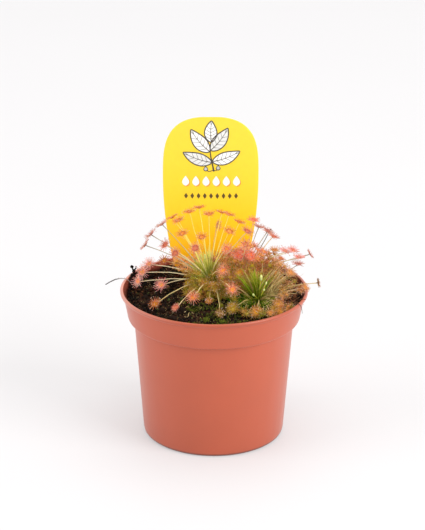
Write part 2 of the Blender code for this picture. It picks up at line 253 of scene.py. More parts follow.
def bump(nt, bsdf, src, strength, distance):
    b = node(nt, "ShaderNodeBump")
    b.inputs["Strength"].default_value = strength
    b.inputs["Distance"].default_value = distance
    nt.links.new(src, b.inputs["Height"])
    nt.links.new(b.outputs["Normal"], bsdf.inputs["Normal"])


def plant_material(name, rough, sss, scale, lo=0.78, hi=1.18, coat=0.0, glow=0.0, shine=0.25):
    m, nt, b = material(name)
    fine = noise_tex(nt, scale, 3.0)
    tinted(nt, b, fine, lo, hi, glow)
    b.inputs["Specular IOR Level"].default_value = shine
    nt.links.new(remap(nt, noise_tex(nt, scale * 0.4, 2.0), rough - 0.08, rough + 0.1), b.inputs["Roughness"])
    bump(nt, b, fine, 0.25, 0.00012)
    b.inputs["Subsurface Weight"].default_value = sss
    b.inputs["Subsurface Radius"].default_value = (0.0009, 0.0005, 0.00025)
    b.inputs["Subsurface Scale"].default_value = 1.0
    b.inputs["Coat Weight"].default_value = coat
    b.inputs["Coat Roughness"].default_value = 0.18
    return m


def pot_material():
    m, nt, b = material("terracotta_plastic")
    cloud = noise_tex(nt, 55.0, 4.0, 0.5)
    streak = noise_tex(nt, 1.0, 3.0, 0.5, (260.0, 260.0, 9.0))
    tinted(nt, b, cloud, 0.965, 1.03)
    nt.links.new(remap(nt, streak, 0.34, 0.43), b.inputs["Roughness"])
    fine = noise_tex(nt, 1500.0, 2.0, 0.6)
    bump(nt, b, fine, 0.09, 0.00005)
    b.inputs["Coat Weight"].default_value = 0.35
    b.inputs["Coat Roughness"].default_value = 0.32
    b.inputs["Subsurface Weight"].default_value = 0.06
    b.inputs["Subsurface Radius"].default_value = (0.003, 0.0011, 0.0006)
    b.inputs["Subsurface Scale"].default_value = 1.0
    return m


def soil_material(name, rough=0.78, strength=0.7):
    m, nt, b = material(name)
    fine = noise_tex(nt, 1300.0, 5.0, 0.65)
    tinted(nt, b, fine, 0.45, 1.6)
    nt.links.new(remap(nt, noise_tex(nt, 700.0, 3.0), rough - 0.25, rough + 0.15), b.inputs["Roughness"])
    bump(nt, b, fine, strength, 0.0004)
    b.inputs["Specular IOR Level"].default_value = 0.12
    return m


def label_material():
    m, nt, b = material("label_yellow")
    tc = node(nt, "ShaderNodeTexCoord")
    sep = node(nt, "ShaderNodeSeparateXYZ")
    nt.links.new(tc.outputs["Object"], sep.inputs[0])
    up = remap(nt, sep.outputs["Z"], 0.0, 1.0, 0.078, 0.150)
    base = ramp(nt, up, [(0.0, srgb(255, 178, 16)), (0.25, srgb(255, 192, 28)), (0.5, srgb(252, 200, 40)), (1.0, srgb(248, 202, 52))])
    grain = remap(nt, noise_tex(nt, 420.0, 3.0), 0.975, 1.02)
    mul = node(nt, "ShaderNodeVectorMath", operation="MULTIPLY")
    nt.links.new(base, mul.inputs[0])
    nt.links.new(grain, mul.inputs[1])
    nt.links.new(mul.outputs["Vector"], b.inputs["Base Color"])
    nt.links.new(remap(nt, noise_tex(nt, 160.0, 3.0), 0.36, 0.46), b.inputs["Roughness"])
    bump(nt, b, noise_tex(nt, 900.0, 2.0), 0.05, 0.00004)
    # painted glow: an emission, strongest low on the label, stands for light that shines through the plastic
    nt.links.new(ramp(nt, up, [(0.0, (0.17, 0.016, 0.0)), (0.3, (0.13, 0.012, 0.0)), (0.6, (0.05, 0.004, 0.001)), (1.0, (0.01, 0.0, 0.006))]), b.inputs["Emission Color"])
    b.inputs["Emission Strength"].default_value = 1.0
    b.inputs["Subsurface Weight"].default_value = 0.45
    b.inputs["Subsurface Radius"].default_value = (0.008, 0.005, 0.0012)
    b.inputs["Subsurface Scale"].default_value = 1.0
    return m


def ink_material():
    m, nt, b = material("label_ink")
    tinted(nt, b, noise_tex(nt, 1200.0, 2.0), 0.95, 1.05)
    nt.links.new(remap(nt, noise_tex(nt, 300.0, 2.0), 0.38, 0.48), b.inputs["Roughness"])
    return m


def dew_material():
    m, nt, b = material("dew")
    nt.links.new(ramp(nt, noise_tex(nt, 900.0, 1.0), [(0.3, (1.0, 0.62, 0.50)), (0.7, (1.0, 0.78, 0.66))]), b.inputs["Base Color"])
    b.inputs["Roughness"].default_value = 0.12
    b.inputs["IOR"].default_value = 1.34
    b.inputs["Transmission Weight"].default_value = 0.35
    return m


POT = pot_material()
SOIL = soil_material("wet_peat")
FIBRE = soil_material("dry_fibre", 0.8, 0.4)
SOILED_SHADED_WALL = soil_material("soiled_and_shaded_plastic", 0.62, 0.25)
LABEL = label_material()
INK = ink_material()
LEAF = plant_material("leaf_tissue", 0.42, 0.22, 2200.0, coat=0.0, glow=0.09, shine=0.12)
DRY = plant_material("dried_leaf", 0.7, 0.12, 1800.0, 0.6, 1.3, glow=0.12, shine=0.06)
GREEN = plant_material("tuft_green", 0.40, 0.18, 900.0, 0.75, 1.2, glow=0.09, shine=0.10)
MOSS = plant_material("moss_green", 0.6, 0.10, 1600.0, 0.6, 1.35, shine=0.15)
DEW = dew_material()


# ---------------------------------------------------------------- camera and light
AIM = Vector((-0.00078, 0.0, 0.0852))
PITCH, ROLL, DISTANCE = math.radians(21.69), math.radians(0.26), 1.061

cam_data = bpy.data.cameras.new("photo_camera")
cam_data.lens, cam_data.sensor_width = 151.0, 36.0
cam = bpy.data.objects.new("photo_camera", cam_data)
cam.location = AIM - Vector((0, math.cos(PITCH), -math.sin(PITCH))) * DISTANCE
cam.rotation_mode = "QUATERNION"
look = Vector((0, math.cos(PITCH), -math.sin(PITCH))).to_track_quat("-Z", "Y")
cam.rotation_quaternion = look @ Quaternion((0, 0, 1), ROLL)
cam_data.clip_start, cam_data.clip_end = 0.05, 20.0
bpy.context.scene.collection.objects.link(cam)
bpy.context.scene.camera = cam

scene = bpy.context.scene
scene.view_settings.view_transform = "Standard"
scene.view_settings.look = "None"
scene.view_settings.exposure = 0.0
scene.view_settings.gamma = 1.0

world = bpy.data.worlds.new("white_studio")
world.use_nodes = True
scene.world = world
world.node_tree.nodes["Background"].inputs["Color"].default_value = (1.0, 0.992, 0.995, 1.0)
world.node_tree.nodes["Background"].inputs["Strength"].default_value = 0.79


def softbox(name, place, aim, size, power, colour=(1, 1, 1)):
    data = bpy.data.lights.new(name, "AREA")
    data.shape, data.size, data.energy, data.color = "SQUARE", size, power, colour
    ob = bpy.data.objects.new(name, data)
    ob.location = place
    ob.rotation_mode = "QUATERNION"
    ob.rotation_quaternion = (Vector(aim) - Vector(place)).to_track_quat("-Z", "Y")
    bpy.context.scene.collection.objects.link(ob)


softbox("overhead_softbox", (0.15, 0.25, 2.3), (0, 0.1, 0), 2.2, 18.0)
softbox("right_softbox", (1.65, -1.05, 1.0), (0, 0, 0.07), 1.3, 34.0)
softbox("left_softbox", (-1.95, -0.55, 0.9), (0, 0, 0.07), 1.3, 16.5)


def floor():
    me = bpy.data.meshes.new("studio_floor")
    s = 6.0
    me.from_pydata([(-s, -s, -0.00005), (s, -s, -0.00005), (s, s, -0.00005), (-s, s, -0.00005)], [], [(0, 1, 2, 3)])
    m, nt, b = material("pale_floor")
    nt.links.new(ramp(nt, noise_tex(nt, 3.0, 2.0), [(0.2, (0.455, 0.450, 0.452)), (0.8, (0.466, 0.462, 0.464))]), b.inputs["Base Color"])
    b.inputs["Roughness"].default_value = 0.6
    b.inputs["Specular IOR Level"].default_value = 0.2
    b.inputs["Emission Color"].default_value = (1.0, 0.985, 0.99, 1.0)
    b.inputs["Emission Strength"].default_value = 0.35
    me.materials.append(m)
    ob = bpy.data.objects.new("studio_floor", me)
    bpy.context.scene.collection.objects.link(ob)


floor()

# ---------------------------------------------------------------- pot
POT_H, RIM_R = 73.3, 45.0
OUTSIDE = [(44.1, 73.3), (44.55, 73.28), (44.9, 73.02), (45.0, 72.55), (44.98, 72.0), (44.72, 71.6), (44.1, 71.4), (43.45, 71.1),
           (41.35, 59.9), (40.95, 59.1), (38.95, 58.75), (38.35, 58.1), (34.1, 2.2), (33.75, 0.7), (32.8, 0.0), (30.6, 0.0),
           (29.9, 1.5), (8.5, 1.5), (8.0, 0.0)]
INSIDE = [(8.0, 2.7), (32.0, 2.7), (33.2, 3.9), (37.4, 57.8), (38.3, 59.1), (39.7, 59.6), (40.2, 60.3), (42.4, 71.0),
          (43.3, 72.3), (43.55, 72.85), (43.75, 73.15)]


def fillet(pts, radius, n=3):
    """Rounds each corner of an open profile, with a spare point beside each corner so that flats shade flat."""
    out = [pts[0]]
    for i in range(1, len(pts) - 1):
        p, a, b = Vector(pts[i]), Vector(pts[i - 1]), Vector(pts[i + 1])
        da, db = (a - p), (b - p)
        ca, cb = min(radius, 0.42 * da.length), min(radius, 0.42 * db.length)
        s, e = p + da.normalized() * ca, p + db.normalized() * cb
        if da.length > 3.0:
            out.append(tuple(p + da.normalized() * (ca + 0.35)))
        for j in range(n + 1):
            t = j / n
            out.append(tuple(s * (1 - t) ** 2 + p * (2 * t * (1 - t)) + e * t * t))
        if db.length > 3.0:
            out.append(tuple(p + db.normalized() * (cb + 0.35)))
    out.append(pts[-1])
    return out


def pot():
    s = Soup()
    seg = 200
    # the turned wall: from the middle of the underside, out, up, over the lip and down inside
    prof = fillet(list(reversed(OUTSIDE)), 0.45) + fillet(list(reversed(INSIDE)), 0.5)[0:]
    rings = []
    for r, z in prof:
        rings.append([Vector((r * math.cos(TAU * k / seg), r * math.sin(TAU * k / seg), z)) for k in range(seg)])
    # outside half of the profile runs inwards to outwards at the foot, so it is turned to face out
    s.lathe(rings, [(1, 1, 1)] * len(rings), 0, close=True)
    me = bpy.data.meshes.new("pot_shell")
    me.from_pydata([(p[0] * MM, p[1] * MM, p[2] * MM) for p in s.v], [], s.f)
    body = bpy.data.objects.new("pot_shell", me)
    bpy.context.scene.collection.objects.link(body)

    cut = Soup()
    for k in range(8):
        a = math.radians((k + 0.5) * 45.0)
        c = Vector((22.5 * math.cos(a), 22.5 * math.sin(a), 0))
        rings = [[c + Vector((3.2 * math.cos(TAU * j / 40), 3.2 * math.sin(TAU * j / 40), z)) for j in range(40)] for z in (0.5, 3.6)]
        cut.lathe(rings, [(1, 1, 1)] * 2)
    cme = bpy.data.meshes.new("drain_cutter")
    cme.from_pydata([(p[0] * MM, p[1] * MM, p[2] * MM) for p in cut.v], [], cut.f)
    cutter = bpy.data.objects.new("drain_cutter", cme)
    bpy.context.scene.collection.objects.link(cutter)
    mod = body.modifiers.new("drains", "BOOLEAN")
    mod.operation, mod.solver, mod.object = "DIFFERENCE", "EXACT", cutter
    dg = bpy.context.evaluated_depsgraph_get()
    done = bpy.data.meshes.new_from_object(body.evaluated_get(dg))
    bpy.data.objects.remove(body, do_unlink=True)
    bpy.data.objects.remove(cutter, do_unlink=True)
    done.name = "pot_shell"
    n = len(done.vertices)
    co = np.empty(n * 3)
    done.vertices.foreach_get("co", co)
    co = co.reshape(-1, 3) / MM
    r = np.hypot(co[:, 0], co[:, 1])
    base = np.array(srgb(183, 81, 48))
    col = np.tile(base, (n, 1))
    # soil stain inside, from the peat's edge up to just under the lip, partly painted shade: near-black at the front
    # and sides where the inner wall lies in shadow, with painted light at the back, a lighter red-brown towards the rim
    # where the wall faces the light
    reach, limit = (60.3, 71.0, 72.3, 73.15), (40.65, 42.8, 43.5, 43.72)
    inside = (co[:, 2] > 60.0) & (co[:, 2] < 73.1) & (r < np.interp(co[:, 2], reach, limit))
    a = np.arctan2(co[:, 1], co[:, 0])
    edge = 73.05 + 0.1 * np.sin(5 * a + 0.6) + 0.08 * np.sin(13 * a)
    k = np.clip((edge - co[:, 2]) / 0.5, 0, 1)
    back = np.clip(0.5 + 0.5 * np.sin(a - 0.25), 0, 1) ** 2 * np.clip((co[:, 2] - 69.0) / 3.0, 0.2, 1)
    stain_and_shade = np.array(srgb(44, 22, 15)) * (1 - back[:, None]) + np.array(srgb(160, 78, 58)) * back[:, None]
    col = np.where(inside[:, None], base * (1 - k[:, None]) + stain_and_shade * k[:, None], col)
    # painted highlight: the lip's bead is painted pale at the left and, less, at the right and back, where it reflects
    # the light; painted shade darkens the bead at the front
    lip_highlight = 0.50 * np.clip(np.cos(a - math.radians(172)), 0, 1) ** 3 + 0.22 * np.clip(np.cos(a - math.radians(30)), 0, 1) ** 2
    lip_highlight = np.where((co[:, 2] > 71.8) & (r > 43.6), lip_highlight, 0)[:, None]
    col = col * (1 - lip_highlight) + np.array(srgb(240, 196, 180)) * lip_highlight
    shade = np.where((co[:, 2] > 71.8) & (r > 43.6), 0.16 * np.clip(-np.sin(a), 0, 1), 0)[:, None]
    col = col * (1 - shade)
    # painted shade: the plastic is darkened towards the foot
    col = col * (1 - 0.12 * np.clip((46 - co[:, 2]) / 46, 0, 1)[:, None] ** 0.8)
    # painted contact shadow: a dark line where the foot meets the ground
    foot = np.where(r > 29, np.clip((1.6 - co[:, 2]) / 0.8, 0, 1), 0)[:, None]
    col = col * (1 - 0.68 * foot)
    at = done.color_attributes.new("tint", "FLOAT_COLOR", "POINT")
    at.data.foreach_set("color", np.hstack([col, np.ones((n, 1))]).astype(np.float32).ravel())
    done.materials.clear()
    done.materials.append(POT)
    done.materials.append(SOILED_SHADED_WALL)
    done.polygons.foreach_set("material_index", [1 if 60.0 < p.center.z / MM < 72.95 and math.hypot(p.center.x, p.center.y) / MM < np.interp(p.center.z / MM, reach, limit) else 0
                                                 for p in done.polygons])
    done.shade_smooth()
    done.set_sharp_from_angle(angle=math.radians(50))
    ob = bpy.data.objects.new("pot_shell", done)
    bpy.context.scene.collection.objects.link(ob)
    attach(ob, "root")
    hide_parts("pot")


pot()


# ---------------------------------------------------------------- peat
def peat_height(x, y):
    return (68.6 + 3.0 * math.exp(-((x + 8) / 24) ** 2 - ((y - 34) / 11) ** 2)
            + 1.5 * math.exp(-((x - 8) / 21) ** 2 - ((y - 2) / 15) ** 2)
            + 0.35 * math.sin(0.31 * x + 1.1) * math.cos(0.27 * y - 0.4) + 0.2 * math.sin(0.53 * x - 0.71 * y))


def peat_top(x, y):
    p = (x, y, 0.0)
    h = peat_height(x, y)
    h += 0.75 * bump_noise(p, 6.5, 3.1) + 0.55 * bump_noise(p, 2.7, 7.7) + 0.28 * bump_noise(p, 1.2, 1.9)
    return h


DARK = srgb(27, 13, 6)
BROWN = srgb(60, 30, 14)
RUST = srgb(96, 62, 38)
MOSSY = srgb(78, 84, 42)
GREYGREEN = srgb(118, 116, 78)


def peat():
    s = Soup()
    seg, inner = 230, 0.6
    rings, cols = [], []
    for r, z in ((31.5, 3.0), (32.9, 4.4), (37.0, 58.6), (38.9, 60.1), (39.8, 60.9), (41.75, 68.0)):
        rings.append([Vector((r * math.cos(TAU * k / seg), r * math.sin(TAU * k / seg), z)) for k in range(seg)])
        cols.append(DARK)
    n = 70
    for j in range(n + 1):
        r = 41.85 - (41.85 - inner) * (j / n) ** 0.97
        ring, col = [], []
        for k in range(seg):
            a = TAU * k / seg
            x, y = r * math.cos(a), r * math.sin(a)
            z = peat_top(x, y) - (0.5 if j == 0 else 0.0)
            ring.append(Vector((x, y, z)))
            t = 0.5 + 0.5 * bump_noise((x, y, z), 3.3, 5.0)
            g = 0.5 + 0.5 * bump_noise((x, y, z), 1.4, 9.0)
            c = mix(DARK, BROWN, max(0.0, min(1.0, 1.6 * t - 0.4)))
            if g > 0.74:
                c = mix(c, MOSSY, 0.35)
            col.append(c)
        rings.append(ring)
        cols.append(col)
    s.lathe(rings, cols, 0, close=True)
    s.build("peat_bed", [SOIL], "peat", "peat")


peat()


def crumbs():
    rng = random.Random(41)
    s = Soup()
    kinds = [(DARK, 42), (BROWN, 20), (RUST, 7), (MOSSY, 5), (srgb(17, 10, 6), 34)]
    names = [c for c, w in kinds for _ in range(w)]
    specks = [GREYGREEN, srgb(140, 126, 88), srgb(104, 104, 58), srgb(154, 124, 86)]
    made = 0
    while made < 6200:
        a, r = rng.uniform(0, TAU), 41.4 * math.sqrt(rng.random())
        x, y = r * math.cos(a), r * math.sin(a)
        big = rng.random()
        size = 0.2 + 0.75 * big ** 3.6
        tone = gain(rng.choice(names), rng.uniform(0.5, 1.5))
        if size < 0.36 and rng.random() < 0.2:
            tone = gain(rng.choice(specks), rng.uniform(0.5, 1.2))
        # painted shade: crumbs at the front edge are darkened where the lip shades them
        if y < 0:
            tone = gain(tone, 1 - 0.5 * max(0.0, min(1.0, (r - 34.5) / 3.5)))
        z = peat_top(x, y) + size * rng.uniform(0.1, 0.9)
        if r > 40.0:
            size *= 0.75
        ax = Vector((rng.gauss(0, 1), rng.gauss(0, 1), rng.gauss(0, 0.6)))
        s.ball(Vector((x, y, z)), ax, size, tone, 0, 4, 2, rng.uniform(0.7, 1.8), 0.3, rng)
        made += 1
    # fine pale grit that lies on top
    for i in range(1700):
        a, r = rng.uniform(0, TAU), 41.2 * math.sqrt(rng.random())
        x, y = r * math.cos(a), r * math.sin(a)
        size = rng.uniform(0.14, 0.30)
        # painted shade: grit by the front wall is darkened where the lip shades it
        lip_shade = 0.45 if y < 0 and r > 36 else 1.0
        s.ball(Vector((x, y, peat_top(x, y) + rng.uniform(0.15, 0.65))), UP, size, gain(rng.choice(specks), lip_shade * (0.3 + 1.5 * rng.random() ** 2)), 0, 4, 1, rng.uniform(0.6, 1.4), 0.3, rng)
    # a few bigger clods, front left and by the rim
    for x, y, r in ((-20, -28, 1.9), (-9, -33, 1.6), (-31, -10, 2.0), (-33, -2, 1.5), (-15, -20, 1.7), (-24, -20, 1.5), (-36, 8, 1.7),
                    (33, -12, 2.0), (36, -3, 1.6), (30, -19, 1.5), (-12, 24, 1.8), (-29, 17, 1.6), (33, 12, 1.9), (22, 26, 1.7), (3, 38, 2.0), (-18, 36, 1.8)):
        s.ball(Vector((x, y, peat_top(x, y) + 0.3 * r)), Vector((rng.gauss(0, 1), rng.gauss(0, 1), 0.4)), r, gain(DARK, rng.uniform(0.8, 1.6)), 0, 8, 4, 1.25, 0.2, rng)
    # peat drifted up against the wall at the back left
    for i in range(420):
        deg = rng.gauss(156, 8.5)
        u = rng.random()
        lift = math.exp(-((deg - 156) / 12) ** 2)
        z = 69.4 + 4.3 * u ** 1.7 * lift
        size = rng.uniform(0.25, 0.7)
        r = min(36.0 + 7.4 * u, 42.1 + (z - 71.0) * 0.5 - 0.5 * size)
        a = math.radians(deg)
        s.ball(Vector((r * math.cos(a), r * math.sin(a), z)), Vector((rng.gauss(0, 1), rng.gauss(0, 1), 1)), size, gain(rng.choice([DARK, DARK, BROWN, srgb(14, 9, 6)]), rng.uniform(0.4, 1.2)), 0, 5, 2, 1.3, 0.35, rng)
    # its crest, a stack of crumbs that stands over the rim
    for x, y, z, size in ((-39.2, 16.0, 73.2, 0.9), (-38.6, 16.6, 74.2, 0.75), (-39.2, 16.4, 74.9, 0.6), (-38.7, 17.0, 75.6, 0.62), (-38.2, 17.2, 76.4, 0.42), (-39.3, 16.5, 76.0, 0.5), (-39.7, 16.5, 76.9, 0.42),
                          (-39.9, 16.4, 77.7, 0.72), (-38.0, 17.5, 77.1, 0.3), (-37.6, 16.4, 74.4, 0.5), (-40.1, 15.4, 73.6, 0.6)):
        s.ball(Vector((x, y, z)), Vector((rng.gauss(0, 1), rng.gauss(0, 1), 1)), size, gain(DARK, rng.uniform(0.4, 0.9)), 0, 7, 4, 1.15, 0.3, rng)
    s.build("peat_crumbs", [SOIL], "peat")


crumbs()


def fibres():
    rng = random.Random(8)
    s = Soup()
    tones = [srgb(120, 92, 60), srgb(84, 60, 40), srgb(150, 128, 92), srgb(60, 44, 32)]
    for i in range(120):
        a, r = rng.uniform(0, TAU), 39.5 * math.sqrt(rng.random())
        x, y = r * math.cos(a), r * math.sin(a)
        head, pts = rng.uniform(0, TAU), []
        curl = rng.uniform(-0.35, 0.35)
        for k in range(9):
            pts.append(Vector((x, y, peat_top(x, y) + 0.35 + 0.25 * math.sin(k * 1.3 + i))))
            x += math.cos(head) * 0.75
            y += math.sin(head) * 0.75
            head += curl + rng.uniform(-0.3, 0.3)
            if math.hypot(x, y) > 41.0:
                break
        if len(pts) > 3:
            c = rng.choice(tones)
            rad = rng.uniform(0.05, 0.13)
            s.tube(pts, [rad * (1 - 0.5 * j / len(pts)) for j in range(len(pts))], [gain(c, rng.uniform(0.8, 1.2))] * len(pts), 4)
    # curly dried threads, front left
    for x, y, head, c, turns in ((-14.5, -21.5, 0.2, srgb(206, 184, 132), 0.42), (-16.0, -10.5, -0.6, srgb(182, 150, 98), 0.55), (-9.5, -21.0, 2.6, srgb(196, 170, 118), 0.36),
                                 (-12.0, -15.5, 1.2, srgb(170, 138, 90), 0.6), (-7.0, -17.5, 0.4, srgb(176, 156, 96), 0.5), (-17.5, -14.0, 1.9, srgb(150, 124, 76), 0.45),
                                 (33.0, -9.0, 0.6, srgb(210, 190, 146), 0.5), (35.5, -3.5, 2.2, srgb(186, 160, 120), 0.6), (31.5, -4.0, -0.8, srgb(160, 130, 92), 0.4), (34.0, -13.0, 1.4, srgb(196, 168, 128), 0.5),
                                 (37.0, 1.5, 2.9, srgb(150, 120, 90), 0.55), (30.5, -14.5, 0.9, srgb(140, 112, 80), 0.5)):
        pts = []
        for k in range(15):
            pts.append(Vector((x, y, peat_top(x, y) + 0.55 + 0.5 * math.sin(k * 0.5))))
            x += math.cos(head) * 0.55
            y += math.sin(head) * 0.55
            head += turns * math.sin(k * 0.55 + 0.4) + 0.12
        s.tube(pts, [0.16] * 8 + [0.13] * 7, [c] * 15, 5)
    # one strand over the rim at the right, one short one beside it
    for pts in (bezier(Vector((36.5, -16.5, 69.8)), Vector((38.4, -19.5, 75.2)), Vector((41.4, -21.0, 75.0)), Vector((41.6, -20.6, 69.0)), 12),
                bezier(Vector((38.0, -12.5, 69.6)), Vector((39.6, -14.0, 73.4)), Vector((41.6, -15.0, 74.4)), Vector((43.4, -15.4, 73.9)), 9)):
        s.tube(pts, [0.24 - 0.012 * i for i in range(len(pts))], [srgb(74, 52, 38)] * len(pts), 5)
    s.build("peat_fibres", [FIBRE], "peat")


fibres()


def root_fibre():
    rng = random.Random(5)
    s = Soup()
    pts = bezier(Vector((-39.2, 9.6, 69.8)), Vector((-41.3, 8.9, 76.2)), Vector((-46.5, 9.0, 75.4)), Vector((-52.2, 4.0, 73.2)), 26)
    for i, p in enumerate(pts):
        k = 0.16 * min(1.0, i / 4)
        pts[i] = p + Vector((bump_noise((i, 0, 0), 2.2, 1.0), bump_noise((0, i, 0), 2.2, 2.0), bump_noise((0, 0, i), 2.2, 3.0))) * k
    s.tube(pts, [0.17 + 0.11 * math.sin(math.pi * min(1.0, max(0.0, (i - 9) / 17)) * 0.85) for i in range(len(pts))], [mix(srgb(120, 108, 100), srgb(164, 158, 154), i / 13) if i < 13 else mix(srgb(164, 158, 154), srgb(84, 80, 80), min(1.0, (i - 13) / 6)) for i in range(len(pts))], 7)
    for i in (6, 11, 15, 19, 22):
        d = Vector((rng.uniform(-1, 0.3), rng.uniform(-1, 1), rng.uniform(-0.6, 0.8))).normalized()
        q = [pts[i], pts[i] + d * 0.5, pts[i] + d * 1.0 + Vector((0, 0, -0.2))]
        s.tube(q, [0.08, 0.06, 0.03], [srgb(150, 140, 134)] * 3, 4)
    s.build("root_strand", [FIBRE], "root", "root_fibre")


root_fibre()

# ---------------------------------------------------------------- label
LABEL_X, LABEL_TOP, LABEL_TIP, LABEL_T = -1.85, 147.7, 27.0, 0.25


def label_half(z):
    if z > 117.3:
        t = min(1.0, (z - 117.3) / 30.5)
        return 23.3 * max(0.0, 1 - t ** 3.3) ** 0.375
    return 23.3 - 0.0027 * (117.3 - z) ** 2


def label_y(x, z):
    return 33 + (z - 72) * math.tan(math.radians(2)) + 0.0016 * (x - LABEL_X) ** 2


def label():
    s = Soup()
    zs = [27.0 + (117.3 - 27.0) * j / 60 for j in range(61)]
    top_t = (LABEL_TOP - 117.3) / 30.5
    stop = math.asin(top_t ** 1.65)
    zs += [117.3 + 30.5 * math.sin(stop * j / 44) ** (1 / 1.65) for j in range(1, 45)]
    across = 30
    rings = []
    for z in zs:
        hw = label_half(z)
        lip = min(0.3, hw * 0.4)
        us = []
        for k in range(across + 1):
            us.append(-(hw - lip) + 2 * (hw - lip) * k / across)
        edge = [(-hw + lip * (1 - math.cos(math.pi / 2 * j / 3)), math.sin(math.pi / 2 * j / 3)) for j in range(3)]
        row = [(x, h) for x, h in edge] + [(x, 1.0) for x in us] + [(-x, h) for x, h in reversed(edge)]
        front = [Vector((LABEL_X + x, label_y(LABEL_X + x, z) - LABEL_T * h, z)) for x, h in row]
        back = [Vector((LABEL_X + x, label_y(LABEL_X + x, z) + LABEL_T * h, z)) for x, h in reversed(row[1:-1])]
        rings.append(front + back)
    s.lathe(rings, [(1, 1, 1)] * len(rings), 0, close=True)
    s.build("label_tongue", [LABEL], "label_plastic", "plant_label", sharp=60)


label()

INK_DARK, INK_GREY, INK_WHITE = srgb(66, 58, 52), srgb(196, 196, 194), srgb(246, 245, 240)
INK_SHADE, INK_BROWN, INK_LEAF = srgb(242, 150, 52), srgb(92, 70, 30), srgb(226, 226, 222)


class Print:
    """Flat shapes printed on the label's face, each a thin closed slab that follows the face."""

    def __init__(self):
        self.s = Soup()

    def patch(self, left, right, col, lift, n=5):
        """Fills the space between two outlines of equal length."""
        s, rows = self.s, len(left)
        base = len(s.v)
        for side in (0, 1):
            for a, b in zip(left, right):
                for k in range(n + 1):
                    x, z = a[0] + (b[0] - a[0]) * k / n, a[1] + (b[1] - a[1]) * k / n
                    off = lift if side == 0 else 0.004
                    s.v.append(Vector((LABEL_X + x, label_y(LABEL_X + x, z) - LABEL_T - off, z)))
                    s.c.append(col)
        w = n + 1
        back = rows * w
        for i in range(rows - 1):
            for k in range(n):
                q = base + i * w + k
                s.f.append((q, q + 1, q + w + 1, q + w))
                s.f.append((back + q, back + q + w, back + q + w + 1, back + q + 1))
                s.m += [0, 0]
        loop = [base + k for k in range(w)] + [base + i * w + n for i in range(1, rows)]
        loop += [base + (rows - 1) * w + k for k in reversed(range(n))] + [base + i * w for i in reversed(range(1, rows - 1))]
        for a, b in zip(loop, loop[1:] + loop[:1]):
            s.f.append((a, a + back, b + back, b))
            s.m.append(0)

    def line(self, pts, width, col, lift, taper=0.0):
        left, right, n = [], [], len(pts)
        for i, p in enumerate(pts):
            a, b = pts[max(0, i - 1)], pts[min(n - 1, i + 1)]
            d = Vector((b[0] - a[0], b[1] - a[1])).normalized()
            w = 0.5 * width * (1 - taper * i / (n - 1))
            left.append((p[0] - d[1] * -w, p[1] + d[0] * -w))
            right.append((p[0] + d[1] * -w, p[1] - d[0] * -w))
        self.patch(right, left, col, lift, 1)

    def leaf(self, x, z, angle, length, width, bend, fill, veins=5):
        """A pointed leaf from its foot at x, z."""
        a = math.radians(angle)
        mid, left, right = [], [], []
        n = 20
        px, pz, h = x, z, a
        for i in range(n + 1):
            t = i / n
            w = 0.5 * width * (math.sin(math.pi * t ** 0.82) ** 0.85 if 0 < t < 1 else 0.0) + 0.02
            mid.append((px, pz))
            left.append((px - math.sin(h) * w, pz + math.cos(h) * w))
            right.append((px + math.sin(h) * w, pz - math.cos(h) * w))
            px += math.cos(h) * length / n
            pz += math.sin(h) * length / n
            h += math.radians(bend) / n
        self.patch(left, right, fill, 0.020, 6)
        self.line(left, 0.55, INK_DARK, 0.034)
        self.line(right, 0.55, INK_DARK, 0.034)
        self.line(mid[:-1], 0.42, INK_DARK, 0.036, 0.6)
        for i in range(veins):
            k = 3 + int(i * (n - 7) / max(1, veins - 1))
            for edge in (left, right):
                e = edge[min(n - 1, k + 3)]
                m = mid[k]
                self.line([m, (m[0] * 0.45 + e[0] * 0.55, m[1] * 0.5 + e[1] * 0.5), (m[0] * 0.08 + e[0] * 0.92, m[1] * 0.08 + e[1] * 0.92)], 0.26, srgb(120, 116, 110), 0.030, 0.4)

    def drop(self, x, z, r, tall, col, lift):
        n, left, right = 14, [], []
        for i in range(n + 1):
            t = i / n
            w = r * math.sin(math.pi * t ** 0.72) + 0.01
            zz = z - r + t * (2 * r * tall)
            left.append((x - w, zz))
            right.append((x + w, zz))
        self.patch(left, right, col, lift, 4)

    def lozenge(self, x, z, w, h, col, lift):
        self.patch([(x - 0.02, z - h), (x - w, z), (x - 0.02, z + h)], [(x + 0.02, z - h), (x + w, z), (x + 0.02, z + h)], col, lift, 2)


def label_print():
    p = Print()
    # a sprig of five leaves and two buds
    p.line([(1.5, 120.4), (0.8, 124.1), (0.0, 127.8), (-0.4, 131.6), (0.2, 136.2)], 0.8, INK_DARK, 0.036, 0.5)
    p.leaf(0.2, 135.1, 96, 10.9, 6.0, -14, INK_WHITE)
    p.leaf(-0.4, 130.4, 142, 14.6, 6.5, -26, INK_WHITE)
    p.leaf(-0.2, 131.0, 42, 14.2, 6.3, 24, INK_LEAF)
    p.leaf(0.6, 125.0, 172, 15.0, 6.0, -24, INK_LEAF)
    p.leaf(0.7, 125.4, 10, 14.5, 6.0, 24, INK_WHITE)
    for x, z, dx in ((3.6, 121.8, 1), (-2.4, 121.3, -1)):
        p.line([(1.4, 121.0), (x * 0.6 + 0.5, z - 1.0), (x, z)], 0.4, INK_DARK, 0.03)
        p.drop(x, z + 0.2, 1.15, 1.25, INK_DARK, 0.032)
        p.drop(x, z + 0.28, 0.75, 1.25, INK_GREY, 0.044)
    # a row of dew drops with soft orange shadows
    for i in range(6):
        x = -12.2 + i * 4.95
        p.drop(x + 0.45, 114.3, 1.75, 1.5, INK_SHADE, 0.014)
        p.drop(x, 114.7, 1.7, 1.5, INK_WHITE, 0.028)
    # a row of small lozenges
    for i in range(9):
        p.lozenge(-12.0 + i * 3.05, 107.9, 0.95, 1.5, INK_BROWN, 0.024)
    p.s.build("label_sprig_print", [INK], "label_plastic", smooth=False)


label_print()

